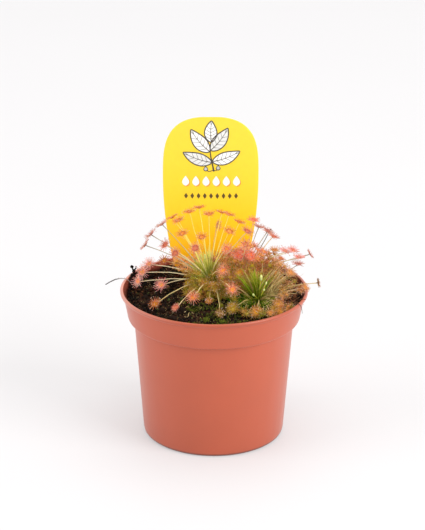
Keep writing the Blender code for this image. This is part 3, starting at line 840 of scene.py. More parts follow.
# ---------------------------------------------------------------- sundew leaves
# Each tone: stalk foot, middle and top; blade centre, edge and back; tentacle foot and tip; gland.
TONES = {
    "amber": dict(stalk=(srgb(146, 168, 56), srgb(244, 228, 124), srgb(250, 206, 96)), blade=(srgb(240, 172, 82), srgb(204, 104, 52), srgb(192, 98, 50)),
                  hair=(srgb(232, 146, 78), srgb(226, 126, 78)), gland=srgb(200, 84, 54)),
    "dusk": dict(stalk=(srgb(146, 148, 80), srgb(190, 180, 144), srgb(160, 146, 124)), blade=(srgb(184, 112, 98), srgb(152, 84, 76), srgb(140, 80, 74)),
                 hair=(srgb(222, 168, 158), srgb(206, 142, 136)), gland=srgb(168, 84, 84)),
    "rose": dict(stalk=(srgb(150, 170, 66), srgb(226, 214, 146), srgb(216, 184, 140)), blade=(srgb(214, 130, 94), srgb(182, 88, 74), srgb(168, 84, 72)),
                 hair=(srgb(226, 146, 122), srgb(208, 114, 100)), gland=srgb(176, 64, 62)),
    "pink": dict(stalk=(srgb(180, 178, 106), srgb(224, 212, 164), srgb(222, 200, 162)), blade=(srgb(240, 174, 88), srgb(228, 134, 112), srgb(214, 134, 122)),
                 hair=(srgb(248, 184, 170), srgb(238, 146, 144)), gland=srgb(210, 96, 104)),
    "bloom": dict(stalk=(srgb(180, 178, 106), srgb(230, 218, 172), srgb(228, 206, 168)), blade=(srgb(246, 176, 88), srgb(238, 142, 118), srgb(222, 140, 128)),
                  hair=(srgb(255, 206, 190), srgb(254, 172, 164)), gland=srgb(232, 112, 116)),
    "coral": dict(stalk=(srgb(160, 168, 66), srgb(224, 210, 148), srgb(226, 200, 146)), blade=(srgb(232, 164, 72), srgb(222, 126, 82), srgb(206, 118, 80)),
                  hair=(srgb(240, 162, 120), srgb(228, 128, 106)), gland=srgb(194, 78, 68)),
    "red": dict(stalk=(srgb(150, 160, 66), srgb(220, 192, 118), srgb(230, 164, 118)), blade=(srgb(236, 140, 82), srgb(222, 98, 74), srgb(210, 92, 74)),
                hair=(srgb(246, 146, 116), srgb(236, 112, 98)), gland=srgb(206, 66, 66)),
    "orange": dict(stalk=(srgb(150, 160, 66), srgb(224, 196, 110), srgb(232, 170, 90)), blade=(srgb(244, 160, 72), srgb(228, 118, 60), srgb(212, 108, 60)),
                   hair=(srgb(246, 160, 96), srgb(236, 128, 84)), gland=srgb(204, 80, 54)),
    "peach": dict(stalk=(srgb(150, 152, 62), srgb(230, 206, 140), srgb(232, 184, 120)), blade=(srgb(252, 196, 96), srgb(246, 160, 92), srgb(232, 148, 88)),
                  hair=(srgb(255, 204, 134), srgb(252, 168, 118)), gland=srgb(236, 124, 86)),
    "rust": dict(stalk=(srgb(120, 124, 44), srgb(206, 190, 130), srgb(190, 160, 104)), blade=(srgb(212, 146, 44), srgb(182, 108, 52), srgb(166, 100, 52)),
                 hair=(srgb(208, 130, 86), srgb(190, 102, 78)), gland=srgb(160, 68, 54)),
    "ochre": dict(stalk=(srgb(110, 116, 40), srgb(188, 168, 108), srgb(184, 150, 94)), blade=(srgb(214, 160, 48), srgb(180, 120, 52), srgb(156, 106, 52)),
                  hair=(srgb(212, 158, 84), srgb(200, 126, 80)), gland=srgb(164, 84, 54)),
    "blush": dict(stalk=(srgb(130, 130, 56), srgb(206, 182, 120), srgb(206, 160, 112)), blade=(srgb(232, 160, 84), srgb(212, 120, 78), srgb(194, 110, 78)),
                  hair=(srgb(230, 152, 112), srgb(218, 122, 98)), gland=srgb(186, 76, 66)),
    "olive": dict(stalk=(srgb(126, 130, 50), srgb(180, 162, 94), srgb(180, 150, 92)), blade=(srgb(196, 174, 46), srgb(166, 142, 46), srgb(136, 116, 40)),
                  hair=(srgb(184, 162, 54), srgb(186, 134, 60)), gland=srgb(154, 88, 44)),
    "green": dict(stalk=(srgb(96, 112, 32), srgb(136, 140, 58), srgb(146, 142, 64)), blade=(srgb(146, 154, 36), srgb(124, 128, 36), srgb(100, 104, 32)),
                  hair=(srgb(134, 136, 36), srgb(146, 126, 44)), gland=srgb(140, 92, 42)),
    "brown": dict(stalk=(srgb(142, 128, 72), srgb(196, 168, 116), srgb(196, 154, 112)), blade=(srgb(216, 156, 84), srgb(198, 128, 80), srgb(178, 116, 78)),
                  hair=(srgb(226, 172, 120), srgb(212, 138, 104)), gland=srgb(178, 90, 66)),
    "straw": dict(stalk=(srgb(130, 120, 60), srgb(196, 180, 124), srgb(188, 164, 108)), blade=(srgb(150, 118, 56), srgb(132, 92, 50), srgb(110, 80, 46)),
                  hair=(srgb(168, 130, 82), srgb(146, 104, 68)), gland=srgb(112, 66, 46)),
}


def warmer(c, by):
    return tuple(min(1.0, a * k) for a, k in zip(c, by))


for name, tone in TONES.items():
    rosy = name in ("pink", "bloom", "coral", "rose", "dusk", "red")
    by = (1.08, 0.99, 1.0) if rosy else (1.04, 1.0, 0.82)
    tone["blade"] = tuple(warmer(c, (1.02, 1.0, 0.9) if rosy else by) for c in tone["blade"])
    tone["hair"] = tuple(warmer(c, by) for c in tone["hair"])
    tone["gland"] = warmer(tone["gland"], by)


def stalk(s, pts, tone, rng, foot, top, hairs=8, sides=6, green=0.35):
    a, b, c = TONES[tone]["stalk"]
    n = len(pts)
    cols, radii = [], []
    for i in range(n):
        t = i / (n - 1)
        cols.append(mix(a, b, t / green) if t < green else mix(b, c, (t - green) / (1 - green)))
        radii.append(foot + (top - foot) * min(1.0, t / 0.7) ** 0.8)
    radii[-1] *= 1.35
    s.tube(pts, radii, cols, sides)
    for i in range(hairs):
        t = rng.uniform(0.25, 0.97)
        k = min(n - 2, int(t * (n - 1)))
        p = pts[k].lerp(pts[k + 1], t * (n - 1) - k)
        ax = (pts[k + 1] - pts[k]).normalized()
        o = Vector((rng.gauss(0, 1), rng.gauss(0, 1), rng.gauss(0, 1)))
        o = (o - ax * o.dot(ax)).normalized()
        L = rng.uniform(0.3, 0.65)
        s.tube([p, p + (o + ax * 0.3) * L], [0.04, 0.02], [mix(b, (0.9, 0.82, 0.66), 0.4)] * 2, 3, cap=False)


# ring radius as a part of the blade's radius, tentacle count, lean from the blade's plane, its scatter, shortest and longest
RINGS = ((0.99, 25, 8, 20, 0.80, 1.18), (0.86, 18, 30, 16, 0.58, 0.86), (0.66, 13, 52, 14, 0.40, 0.60), (0.42, 8, 68, 12, 0.28, 0.42), (0.14, 2, 84, 6, 0.18, 0.28))


SHIFTS = [srgb(176, 168, 60), srgb(248, 214, 150), srgb(236, 150, 146), srgb(120, 110, 30)]
EARTHY = [srgb(176, 168, 48), srgb(224, 196, 96), srgb(204, 132, 60), srgb(112, 104, 24), srgb(226, 150, 104)]
SCATTER = {"olive": EARTHY, "ochre": EARTHY, "green": EARTHY, "straw": EARTHY}


def trap(s, centre, normal, R, tone, rng, detail=1.0, dew=0.4, reach=1.0, cup=0.40, thick=1.0):
    """A round dished blade with its tentacles, each with a gland and a drop of dew."""
    T = TONES[tone]
    a = normal.normalized()
    e1 = a.orthogonal().normalized()
    e2 = a.cross(e1)
    ph = rng.uniform(0, TAU)
    prof = ((0.12, -0.16, 2), (0.50, -0.06, 2), (0.82, 0.14, 2), (0.97, 0.34, 1), (1.0, 0.44, 1), (0.94, 0.46, 1), (0.72, 0.28, 3), (0.40, 0.15, 0), (0.12, 0.12, 0))
    seg = 18 if detail > 0.75 else 12
    base = len(s.v)
    for r, z, tag in prof:
        for k in range(seg):
            t = TAU * k / seg
            w = 1 + 0.05 * math.sin(3 * t + ph) + 0.035 * math.sin(5 * t + 2 * ph)
            zz = z * R * cup * 1.6 + 0.08 * r * r * R * math.sin(2 * t + ph)
            s.v.append(centre + a * zz + (e1 * math.cos(t) + e2 * math.sin(t)) * (r * R * w))
            s.c.append({0: T["blade"][0], 1: T["blade"][1], 2: T["blade"][2], 3: mix(T["blade"][0], T["blade"][1], 0.75)}[tag])
    for j in range(len(prof) - 1):
        for k in range(seg):
            q, k1 = base + j * seg, (k + 1) % seg
            s.f.append((q + k, q + k1, q + seg + k1, q + seg + k))
            s.m.append(0)
    s.f.append(tuple(base + k for k in reversed(range(seg))))
    q = base + (len(prof) - 1) * seg
    s.f.append(tuple(q + k for k in range(seg)))
    s.m += [0, 0]
    h0, h1 = T["hair"]
    for rr, cnt, el, jit, lo, hi in RINGS:
        cnt = max(2, int(round(cnt * detail)))
        for k in range(cnt):
            t = TAU * (k + rng.uniform(-0.35, 0.35)) / cnt + ph
            radial = e1 * math.cos(t) + e2 * math.sin(t)
            e = math.radians(el + rng.uniform(-jit, jit))
            zr = (0.12 + 0.32 * max(0.0, rr - 0.3) / 0.7) * R * cup * 1.6
            foot = centre + radial * (rr * R * 0.97) + a * zr
            L = R * rng.uniform(lo, hi) * (reach if rr > 0.7 else 1.0)
            e2b = e + math.radians(rng.uniform(-14, 34))
            mid = foot + (radial * math.cos(e) + a * math.sin(e)) * (L * 0.5)
            d2 = radial * math.cos(e2b) + a * math.sin(e2b)
            tip = mid + d2 * (L * 0.5)
            tr = (0.085 if rr > 0.5 else 0.07) * thick
            g, shift, w = rng.uniform(0.72, 1.18), rng.choice(SCATTER.get(tone, SHIFTS)), rng.uniform(0.0, 0.3)
            s.tube([foot, mid, tip], [tr * 1.35, tr, tr * 0.8], [gain(mix(h0, shift, w), g), gain(mix(mix(h0, h1, 0.5), shift, w), g), gain(mix(h1, shift, w), g)], 3, cap=False)
            gr = rng.uniform(0.095, 0.13) * thick
            s.ball(tip, d2, gr, T["gland"], 0, 4, 1, 1.3)
            if rng.random() < dew:
                s.ball(tip + d2 * 0.03, d2, gr * rng.uniform(1.3, 1.7), (1, 1, 1), 1, 5, 2, 1.1)


def fuzz(s, centre, normal, R, tone, rng, hairs=30):
    """A small young trap: a dished pad under a dome of tentacles, in far fewer faces than trap()."""
    T = TONES[tone]
    a = normal.normalized()
    e1 = a.orthogonal().normalized()
    e2 = a.cross(e1)
    pad = R * 0.40
    s.ball(centre, a, pad, gain(mix(mix(T["blade"][0], T["blade"][1], rng.uniform(0.2, 1.0)), srgb(150, 130, 50), 0.3), rng.uniform(0.75, 1.1)), 0, 7, 3, 0.5, 0.14, rng)
    h0, h1 = T["hair"]
    for k in range(hairs):
        u = (k + 0.5) / hairs
        t = k * 2.39996 + rng.uniform(-0.3, 0.3)
        radial = e1 * math.cos(t) + e2 * math.sin(t)
        lean = math.radians(84 - 80 * u + rng.gauss(0, 13))
        d = radial * math.cos(lean) + a * math.sin(lean)
        L = R * (0.42 + 0.62 * u) * rng.uniform(0.7, 1.3)
        foot = centre + radial * (pad * math.sqrt(u) * 0.92) + a * (0.10 * R)
        mid = foot + d * (L * 0.55)
        tip = mid + (d + a * rng.uniform(-0.3, 0.5) + e1 * rng.gauss(0, 0.25) + e2 * rng.gauss(0, 0.25)).normalized() * (L * 0.45)
        g, shift, w = rng.uniform(0.6, 1.4), rng.choice(SCATTER.get(tone, SHIFTS)), rng.uniform(0.0, 0.2) if tone == "peach" else rng.uniform(0.1, 0.6)
        # painted glint: 28 in 100 tentacle tips are painted cream where dew would catch the light
        end = mix(h1, (0.86, 0.70, 0.50), 0.6) if rng.random() < 0.28 else mix(h1, T["gland"], rng.uniform(0.2, 0.9))
        s.tube([foot, mid, tip], [0.09, 0.06, 0.10], [gain(mix(h0, shift, w), 0.8 * g), gain(mix(mix(h0, h1, 0.6), shift, w), g), gain(end, g)], 3, cap=False)


def leaf_route(heart, r, spread, az, el, length, rise, swing):
    """The trap stands round the spread point; its stalk springs from the heart."""
    p3 = spread + direction(az, el) * length
    v = p3 - heart
    az, el = math.degrees(math.atan2(v.y, v.x)), math.degrees(math.asin(v.z / v.length))
    start = direction(az + swing, min(88.0, el + rise))
    end = direction(az - 0.8 * swing, el - 0.9 * rise)
    p0 = heart + start * (r + 0.45)
    span = (p3 - p0).length
    return start, end, p0, p0 + start * (0.36 * span), p3 - end * (0.36 * span), p3


def one_leaf(s, plant, row, tone, rng, small=False, dew=0.4, foot=0.46, top=0.22, wobble=0.18, green=0.35, core=0.60, reach=0.8, thick=0.8, detail=1.0):
    heart, r, spread = plant
    az, el, length, rise, swing, trap_d, face = row
    start, end, p0, p1, p2, p3 = leaf_route(heart, r, spread, az, el, length, rise, swing)
    normal = direction(*face) if face else (end + Vector((0, 0, 0.35))).normalized()
    if not small and el > 14:
        p3 = p3 - normal * 0.9
    pts = [heart + start * (r * 0.3)] + bezier(p0, p1, p2, p3, 7 if small else 13)
    sd = rng.uniform(0, 50)
    for i in range(2, len(pts) - 1):
        k = wobble * math.sin(math.pi * i / len(pts))
        pts[i] = pts[i] + Vector((bump_noise((i, sd, 0), 3.0), bump_noise((sd, i, 0), 3.0), bump_noise((0, sd, i), 3.0))) * (k * 2)
    pts[-1] = p3 + normal * 0.12
    stalk(s, pts, tone, rng, foot, top, 3 if small else 10, 4 if small else 6, green)
    if small:
        fuzz(s, p3 + normal * 0.4, normal, trap_d * 0.5, tone, rng)
    else:
        trap(s, p3 + normal * 0.42, normal, trap_d * 0.5 * core, tone, rng, detail, dew, reach, thick=thick)


# heart of each rosette, radius of its crown, and the point its traps stand round
LEFT_PLANT = (Vector((-2.2, 6.0, 74.6)), 4.6, Vector((-1, 8, 78)))
MIDDLE_PLANT = (Vector((14.0, 11.5, 75.0)), 4.0, Vector((14, 12, 76)))
RIGHT_PLANT = (Vector((21.2, -12.0, 72.4)), 3.8, Vector((23.5, -9, 73.5)))

LEFT = [
    (147, 77, 33, 3, 4, 4.8, None), (190, 71, 34, -1, -6, 4.8, None), (153, 49, 33, 6, -4, 4.8, None), (207, 59, 35, 1, -4, 5.0, None),
    (171, 44, 34, 4, -4, 5.0, None), (184, 35, 36, 8, 3, 5.2, None), (215, 37, 34, 9, -6, 5.0, (214, 42)), (172, 21, 35, 10, -4, 5.2, (172, 32)),
    (229, 51, 34, 5, -4, 5.0, None), (229, 34, 32, 8, 5, 5.2, (238, 36)), (258, 77, 34, 3, 6, 4.8, None), (50, 76, 30, 3, 11, 4.8, None),
    (346, 75, 32, 2, -6, 4.6, None), (78, 54, 24, 6, 6, 4.2, (332, 12)), (297, 57, 33, 5, 1, 5.0, None), (353, 64, 30, -2, -2, 4.6, None),
    (325, 52, 33, 6, 3, 5.2, None), (252, 41, 34, 7, -4, 5.2, (256, 40)), (252, 57, 29, 6, 3, 4.8, None), (289, 44, 29, 7, -5, 5.4, (284, 40)),
    (282, 24, 27, 10, -6, 6.0, (270, 28)), (291, 3, 27, 12, 7, 6.2, (276, 42)), (250, -7, 26, 18, 6, 6.0, (252, 46)), (186, -13, 25, 18, 6, 6.2, (246, 44)),
    (221, -11, 36, 12, -6, 6.0, (248, 46)), (241, -10, 35, 9, -5, 4.6, (222, 50)), (165, -6, 35, 12, 5, 6.6, (236, 40)), (154, -3, 34, 12, 4, 5.6, (234, 46)),
    (139, -4, 31, 12, -3, 5.6, (240, 50)), (276, -11, 36, 10, 8, 5.0, (280, 52)),
]
LEFT_TONES = ("amber amber amber amber dusk dusk rose dusk amber rose amber amber amber brown amber amber rose rose amber coral "
              "coral coral coral pink rust rose bloom bloom rust straw").split()
MIDDLE = [
    (309, 76, 31, 3, 5, 4.8, None), (15, 72, 25, 4, 5, 4.6, None), (331, 62, 28, 5, -5, 4.8, None), (347, 55, 25.6, 3, -2, 5.0, None),
    (273, 53, 27, 6, -5, 5.4, (270, 44)), (281, 43, 25, 7, 5, 5.2, (284, 40)), (30, 27, 20, 8, 5, 4.6, (300, 80)), (340, 35, 26, 8, -5, 5.0, (322, 69)),
    (4, 26, 27, 8, 6, 5.0, (322, 69)), (345, 23, 30, 8, -3, 5.0, (300, 84)), (0, 18, 34, 4, -3, 3.8, None), (264, 23, 19, 10, -5, 5.4, (266, 34)),
    (262, 43, 25, 3, -7, 5.2, (250, 38)),
]
MIDDLE_TONES = "red dusk dusk rose coral red brown pink pink pink dusk ochre red".split()
RIGHT = [
    (300, -2, 13, 22, 5, 6.0, (290, 48)), (259, -4, 19, 20, 5, 6.0, (265, 48)), (224, -5, 20, 20, -5, 5.4, (252, 50)), (14, 8, 26.6, 11, 10, 3.8, (14, 4)),
    (7, 8, 19.8, 9, -8, 5.0, (326, 44)), (32, 32, 23, 7, 4, 4.8, (320, 80)), (32, 4, 15, 14, 11, 4.8, (300, 52)), (13, 38, 17, 8, -6, 5.0, (320, 50)),
]
RIGHT_TONES = "ochre ochre olive straw brown dusk brown brown".split()


def named_leaves(side, plant, rows, tones, seed):
    for i, (row, tone) in enumerate(zip(rows, tones)):
        s = Soup()
        rng = random.Random(seed + i * 17)
        if row[1] < 15:
            if tone == "rose":
                one_leaf(s, plant, row, tone, rng, dew=0.3, foot=0.30, top=0.22, green=0.12, core=0.72, reach=0.55, thick=0.9)
            elif tone in ("pink", "bloom", "coral"):
                one_leaf(s, plant, row, tone, rng, dew=0.3, foot=0.32, top=0.22, green=0.12, core=0.52, reach=1.5, thick=1.25, detail=1.05)
            else:
                one_leaf(s, plant, row, tone, rng, dew=0.3, foot=0.30, top=0.20, green=0.2, core=0.54, reach=1.15, thick=1.15, detail=1.0)
        elif tone in ("pink", "coral", "red") and row[5] > 4.9:
            one_leaf(s, plant, row, tone, rng, dew=0.3, foot=0.30, top=0.18, reach=1.5, core=0.50, thick=1.15, detail=1.1)
        else:
            one_leaf(s, plant, row, tone, rng, dew=0.25, foot=0.42 if side == "left" else 0.32, top=0.19, green=0.34, core=0.62, reach=1.25, thick=0.95, detail=1.1)
        s.build(f"leaf_{side}_{i + 1:02d}", [LEAF, DEW], "leaf", f"{side}_leaf_{i + 1:02d}")


named_leaves("left", LEFT_PLANT, LEFT, LEFT_TONES, 1000)
named_leaves("middle", MIDDLE_PLANT, MIDDLE, MIDDLE_TONES, 2000)
named_leaves("right", RIGHT_PLANT, RIGHT, RIGHT_TONES, 3000)


def more_leaves(name, plant, sectors, seed):
    """Further leaves, thrown within sectors: count, azimuths, elevations, lengths, trap size, small or full, tones."""
    s = Soup()
    rng = random.Random(seed)
    heart, r, spread = plant
    for count, az0, az1, el0, el1, len0, len1, d, small, tones in sectors:
        for i in range(count):
            for attempt in range(14):
                az = az0 + (az1 - az0) * (i + rng.random()) / count
                el, L = rng.uniform(el0, el1), rng.uniform(len0, len1)
                tip = heart + direction(az, el) * L
                rad = math.hypot(tip.x, tip.y)
                if tip.y > label_y(tip.x, tip.z) - 4.5 and abs(tip.x - LABEL_X) < label_half(tip.z) + 4:
                    continue
                if rad > 46 and tip.z < 77 or rad > 48:
                    continue
                if rad < 46 and tip.z < peat_height(tip.x, tip.y) + 1.4:
                    continue
                break
            face = None
            if rng.random() < 0.6:
                face = (az + rng.uniform(-40, 40), rng.uniform(35, 80))
            row = (az, el, L, rng.uniform(4, 14), rng.uniform(-8, 8), d * rng.uniform(0.8, 1.25), face)
            tone = rng.choice(tones.split())
            if small:
                one_leaf(s, (heart, r, heart), row, tone, rng, True, foot=0.26, top=0.15, wobble=0.3, green=0.5)
            else:
                one_leaf(s, (heart, r, heart), row, tone, rng, dew=0.2, foot=0.32, top=0.18, wobble=0.3, green=0.3, core=0.52, reach=1.15)
    s.build(name, [LEAF, DEW], "leaf")


more_leaves("more_leaves_left", LEFT_PLANT, (
    (26, 104, 150, 2, 18, 10, 22, 5.2, True, "peach peach peach pink"),
    (8, 20, 104, 8, 40, 9, 15, 4.2, True, "blush ochre peach"),
    (3, 296, 330, 8, 34, 13, 19, 5.0, False, "olive ochre"),
    (11, 272, 300, -2, 16, 9, 17, 4.6, True, "ochre olive olive green"),
    (14, 300, 352, -2, 44, 9, 18, 4.6, True, "blush ochre ochre olive green"),
    (26, 284, 334, -16, -3, 12, 25, 4.8, True, "olive green olive"),
    (10, 215, 268, -14, -4, 9, 15, 4.4, True, "olive green ochre"),
    (10, 175, 262, 6, 34, 9, 15, 4.4, True, "olive green ochre"),
), 61)
more_leaves("more_leaves_middle", MIDDLE_PLANT, (
    (9, 215, 345, 48, 74, 13, 20, 4.8, False, "red blush coral"),
    (44, 190, 350, 36, 80, 8, 18, 4.8, True, "red peach peach blush pink"),
    (54, 185, 345, 4, 44, 9, 20, 4.8, True, "ochre brown brown peach olive"),
    (34, 195, 300, -14, 8, 10, 22, 4.6, True, "ochre olive green olive"),
    (22, -25, 40, 4, 34, 9, 20, 4.4, True, "brown pink pink peach ochre"),
    (4, 320, 372, 14, 36, 14, 22, 4.8, False, "pink brown blush"),
    (18, 40, 185, 6, 56, 8, 15, 4.2, True, "blush brown ochre olive"),
), 62)
more_leaves("more_leaves_right", RIGHT_PLANT, (
    (34, 20, 82, 4, 56, 9, 20, 4.0, True, "brown ochre olive brown straw"),
    (5, 335, 365, 6, 22, 9, 16, 4.4, True, "brown ochre"),
    (26, 205, 340, -9, 0, 12, 18, 4.6, True, "olive ochre green olive green"),
    (6, 285, 325, -4, 1, 13, 17, 5.0, False, "ochre olive brown"),
    (16, 75, 170, 6, 46, 8, 16, 4.2, True, "brown ochre olive ochre"),
), 63)


def placed_leaves():
    """Further leaves that stand at set places: plant, azimuth, elevation, length, rise, swing, trap size, face, tone."""
    s = Soup()
    rng = random.Random(90)
    for plant, az, el, L, rise, swing, d, face, tone, reach in (
            (LEFT_PLANT, 178, -1.8, 34.0, 9, 6, 6.4, (214, 34), "bloom", 1.75),
            (MIDDLE_PLANT, -94.7, 24.7, 12.4, 14, 6, 6.6, (268, 40), "rust", 1.7),
            (RIGHT_PLANT, -142.6, -3.0, 15.5, 16, -5, 5.6, (262, 52), "olive", 1.5),
            (LEFT_PLANT, -90.6, -5.4, 21.4, 14, 6, 4.2, (262, 50), "ochre", 1.0),
            (LEFT_PLANT, -101.3, 13.8, 9.6, 20, -8, 5.4, (262, 44), "olive", 1.6),
            (LEFT_PLANT, -81.2, 9.2, 14.6, 18, 8, 5.4, (270, 44), "olive", 1.5),
            (LEFT_PLANT, -156.0, 2.3, 10.6, 20, 8, 5.2, (220, 44), "olive", 1.6),
            (RIGHT_PLANT, -94.8, -3.6, 13.2, 18, 5, 5.8, (268, 50), "ochre", 1.6),
            (RIGHT_PLANT, -37.0, 1.0, 11.4, 20, -6, 5.8, (290, 48), "ochre", 1.6),
            (RIGHT_PLANT, 19.5, 6.0, 21.0, 10, -4, 5.4, (300, 50), "brown", 1.5),
            (MIDDLE_PLANT, -118.0, 42.0, 12.0, 10, 8, 5.6, (262, 40), "blush", 1.6),
            (MIDDLE_PLANT, -72.0, 36.0, 12.5, 10, -8, 5.6, (276, 40), "rust", 1.6)):
        one_leaf(s, (plant[0], plant[1], plant[0]), (az, el, L, rise, swing, d, face), tone, rng, dew=0.25, foot=0.28, top=0.18, green=0.3, core=0.50, reach=reach * 0.85, thick=1.2, detail=1.0)
    heart = MIDDLE_PLANT[0]
    pts = bezier(heart + Vector((1.5, 0.2, 3.0)), Vector((19.0, 11.8, 84.5)), Vector((24.6, 12.0, 92.5)), Vector((26.5, 12.0, 98.6)), 12)
    s.tube(pts, [0.26 - 0.010 * i for i in range(13)], [mix(srgb(132, 128, 70), srgb(70, 58, 46), i / 12) for i in range(13)], 5)
    curl = [pts[-1] + Vector((0.25 * i, 0.1 * i, 0.30 * i - 0.08 * i * i)) for i in range(5)]
    s.tube(curl, [0.16, 0.34, 0.40, 0.28, 0.12], [srgb(66, 50, 42)] * 5, 6)
    s.build("placed_leaves", [LEAF, DEW], "leaf")


placed_leaves()


def tangle(name, centre, radii, count, tones, seed):
    """Dried stalks and threads that lie through one another between the leaves."""
    s = Soup()
    rng = random.Random(seed)
    for i in range(count):
        d = Vector((rng.gauss(0, 1), rng.gauss(0, 1), rng.gauss(0, 0.8))).normalized() * rng.random() ** 0.4
        p = centre + Vector((d.x * radii[0], d.y * radii[1], d.z * radii[2]))
        p.z = max(p.z, peat_height(p.x, p.y) + 0.6)
        way = (Vector((rng.gauss(0, 1), rng.gauss(0, 1), rng.gauss(0, 0.7))).normalized() + d * 0.8).normalized()
        turn = Vector((rng.gauss(0, 1), rng.gauss(0, 1), rng.gauss(0, 1))) * 0.35
        step, pts = rng.uniform(0.55, 1.25), []
        for k in range(5):
            pts.append(p.copy())
            p = p + way * step
            way = (way + turn * rng.uniform(0.4, 1.2)).normalized()
        c = gain(rng.choice(tones), rng.uniform(0.6, 1.25))
        w = rng.uniform(0.07, 0.13)
        s.tube(pts, [w, w, w * 0.9, w * 0.8, w * 0.7], [gain(c, 0.8), c, c, c, gain(c, 1.15)], 3, cap=False)
    s.build(name, [DRY], "crown")


STRAW = [srgb(206, 176, 116), srgb(170, 132, 66), srgb(150, 138, 52), srgb(120, 86, 44), srgb(212, 146, 108), srgb(186, 112, 78)]
tangle("tangle_middle", Vector((11.5, 6.0, 78.0)), (11.0, 12.0, 9.0), 620, [gain(c, 1.22) for c in STRAW], 301)
tangle("tangle_left", Vector((-2.5, 1.5, 72.5)), (10.0, 9.0, 4.5), 420, STRAW[:4] + [srgb(176, 164, 70)], 302)
tangle("tangle_rim", Vector((35.5, -8.0, 70.6)), (4.6, 8.0, 1.6), 150, [srgb(156, 96, 70), srgb(124, 80, 52), srgb(186, 132, 96), srgb(96, 62, 40)], 304)
tangle("tangle_right", Vector((29.5, 3.0, 74.5)), (9.0, 12.0, 5.5), 420, STRAW, 303)


# ---------------------------------------------------------------- crowns
def blade(s, foot, d0, d1, length, width, c0, c1, rng, n=6, sides=4, flat=0.35):
    """A short narrow green leaf, pointed at the tip."""
    p3 = foot + (d0 + d1).normalized() * length
    pts = bezier(foot, foot + d0 * (0.4 * length), p3 - d1 * (0.35 * length), p3, n)
    radii = [0.5 * width * (0.75 + 0.5 * math.sin(math.pi * min(1.0, i / n * 1.2))) * (1 - (i / n) ** 3) + 0.03 for i in range(n + 1)]
    cols = [mix(c0, c1, i / n) for i in range(n + 1)]
    s.tube(pts, radii, cols, sides, flat=flat, across=Vector((rng.gauss(0, 1), rng.gauss(0, 1), 0)))


def withered(s, foot, d, R, tone, rng, hairs=15):
    """The shrunken, curled trap of an old leaf."""
    s.ball(foot, d, R * 0.6, gain(tone, rng.uniform(0.55, 0.95)), 0, 6, 3, 0.8, 0.25, rng)
    for k in range(hairs):
        o = (Vector((rng.gauss(0, 1), rng.gauss(0, 1), rng.gauss(0, 1))).normalized() + d * 0.7).normalized()
        q = foot + o * (R * 0.5)
        m = q + o * (R * 0.5)
        e = m + (o + Vector((rng.gauss(0, 0.6), rng.gauss(0, 0.6), rng.gauss(0, 0.6)))).normalized() * (R * 0.55)
        c = gain(tone, rng.uniform(0.9, 1.5))
        s.tube([q, m, e], [0.085, 0.065, 0.075], [gain(tone, 0.9), c, mix(c, srgb(206, 132, 84), rng.uniform(0, 0.5))], 3, cap=False)


def skirt(name, centre, radii, count, size, tones, seed, core=(srgb(66, 54, 18), srgb(76, 74, 20))):
    """A mound of old leaves under the rosette: a rough core, close-set with curled traps, with stalk stubs between."""
    rng = random.Random(seed)
    s = Soup()
    seg, rows = 28, 9
    rings, cols = [], []
    for j in range(rows + 1):
        e = math.radians(-20 + 108 * j / rows)
        ring = []
        for k in range(seg):
            a = TAU * k / seg
            p = Vector((radii[0] * math.cos(a) * math.cos(e), radii[1] * math.sin(a) * math.cos(e), radii[2] * math.sin(e))) * 0.86
            q = centre + p
            ring.append(q + p.normalized() * (0.8 * bump_noise(q, 2.2, seed)))
        rings.append(ring)
        # painted shade: the core is coloured darker than the traps on it, as the shade between old leaves, and darker
        # again on its lower rows
        cols.append(core[0] if j < 6 else core[1])
    s.lathe(rings, cols, 0, close=True)
    for i in range(count):
        u = (i + 0.5) / count
        e = math.asin(-0.18 + 1.1 * u if -0.18 + 1.1 * u < 0.98 else 0.98)
        a = i * 2.39996 + rng.uniform(-0.3, 0.3)
        d = Vector((math.cos(a) * math.cos(e), math.sin(a) * math.cos(e), math.sin(e)))
        p = centre + Vector((radii[0] * d.x, radii[1] * d.y, radii[2] * d.z)) * rng.uniform(0.84, 1.06)
        if p.z < peat_height(p.x, p.y) + 0.5:
            p.z = peat_height(p.x, p.y) + 0.5
        withered(s, p, d, size * rng.uniform(0.7, 1.3), rng.choice(tones), rng)
        if i % 3 == 0:
            q = centre + Vector((radii[0] * d.x, radii[1] * d.y, radii[2] * d.z)) * 0.5
            pts = bezier(q, q + (d + UP * 0.5) * 2.0, p - d * 1.0, p, 4)
            s.tube(pts, [0.24, 0.22, 0.2, 0.18, 0.16], [mix(srgb(150, 140, 70), srgb(206, 184, 124), rng.random())] * 5, 4, cap=False)
    s.build(name, [DRY], "crown")


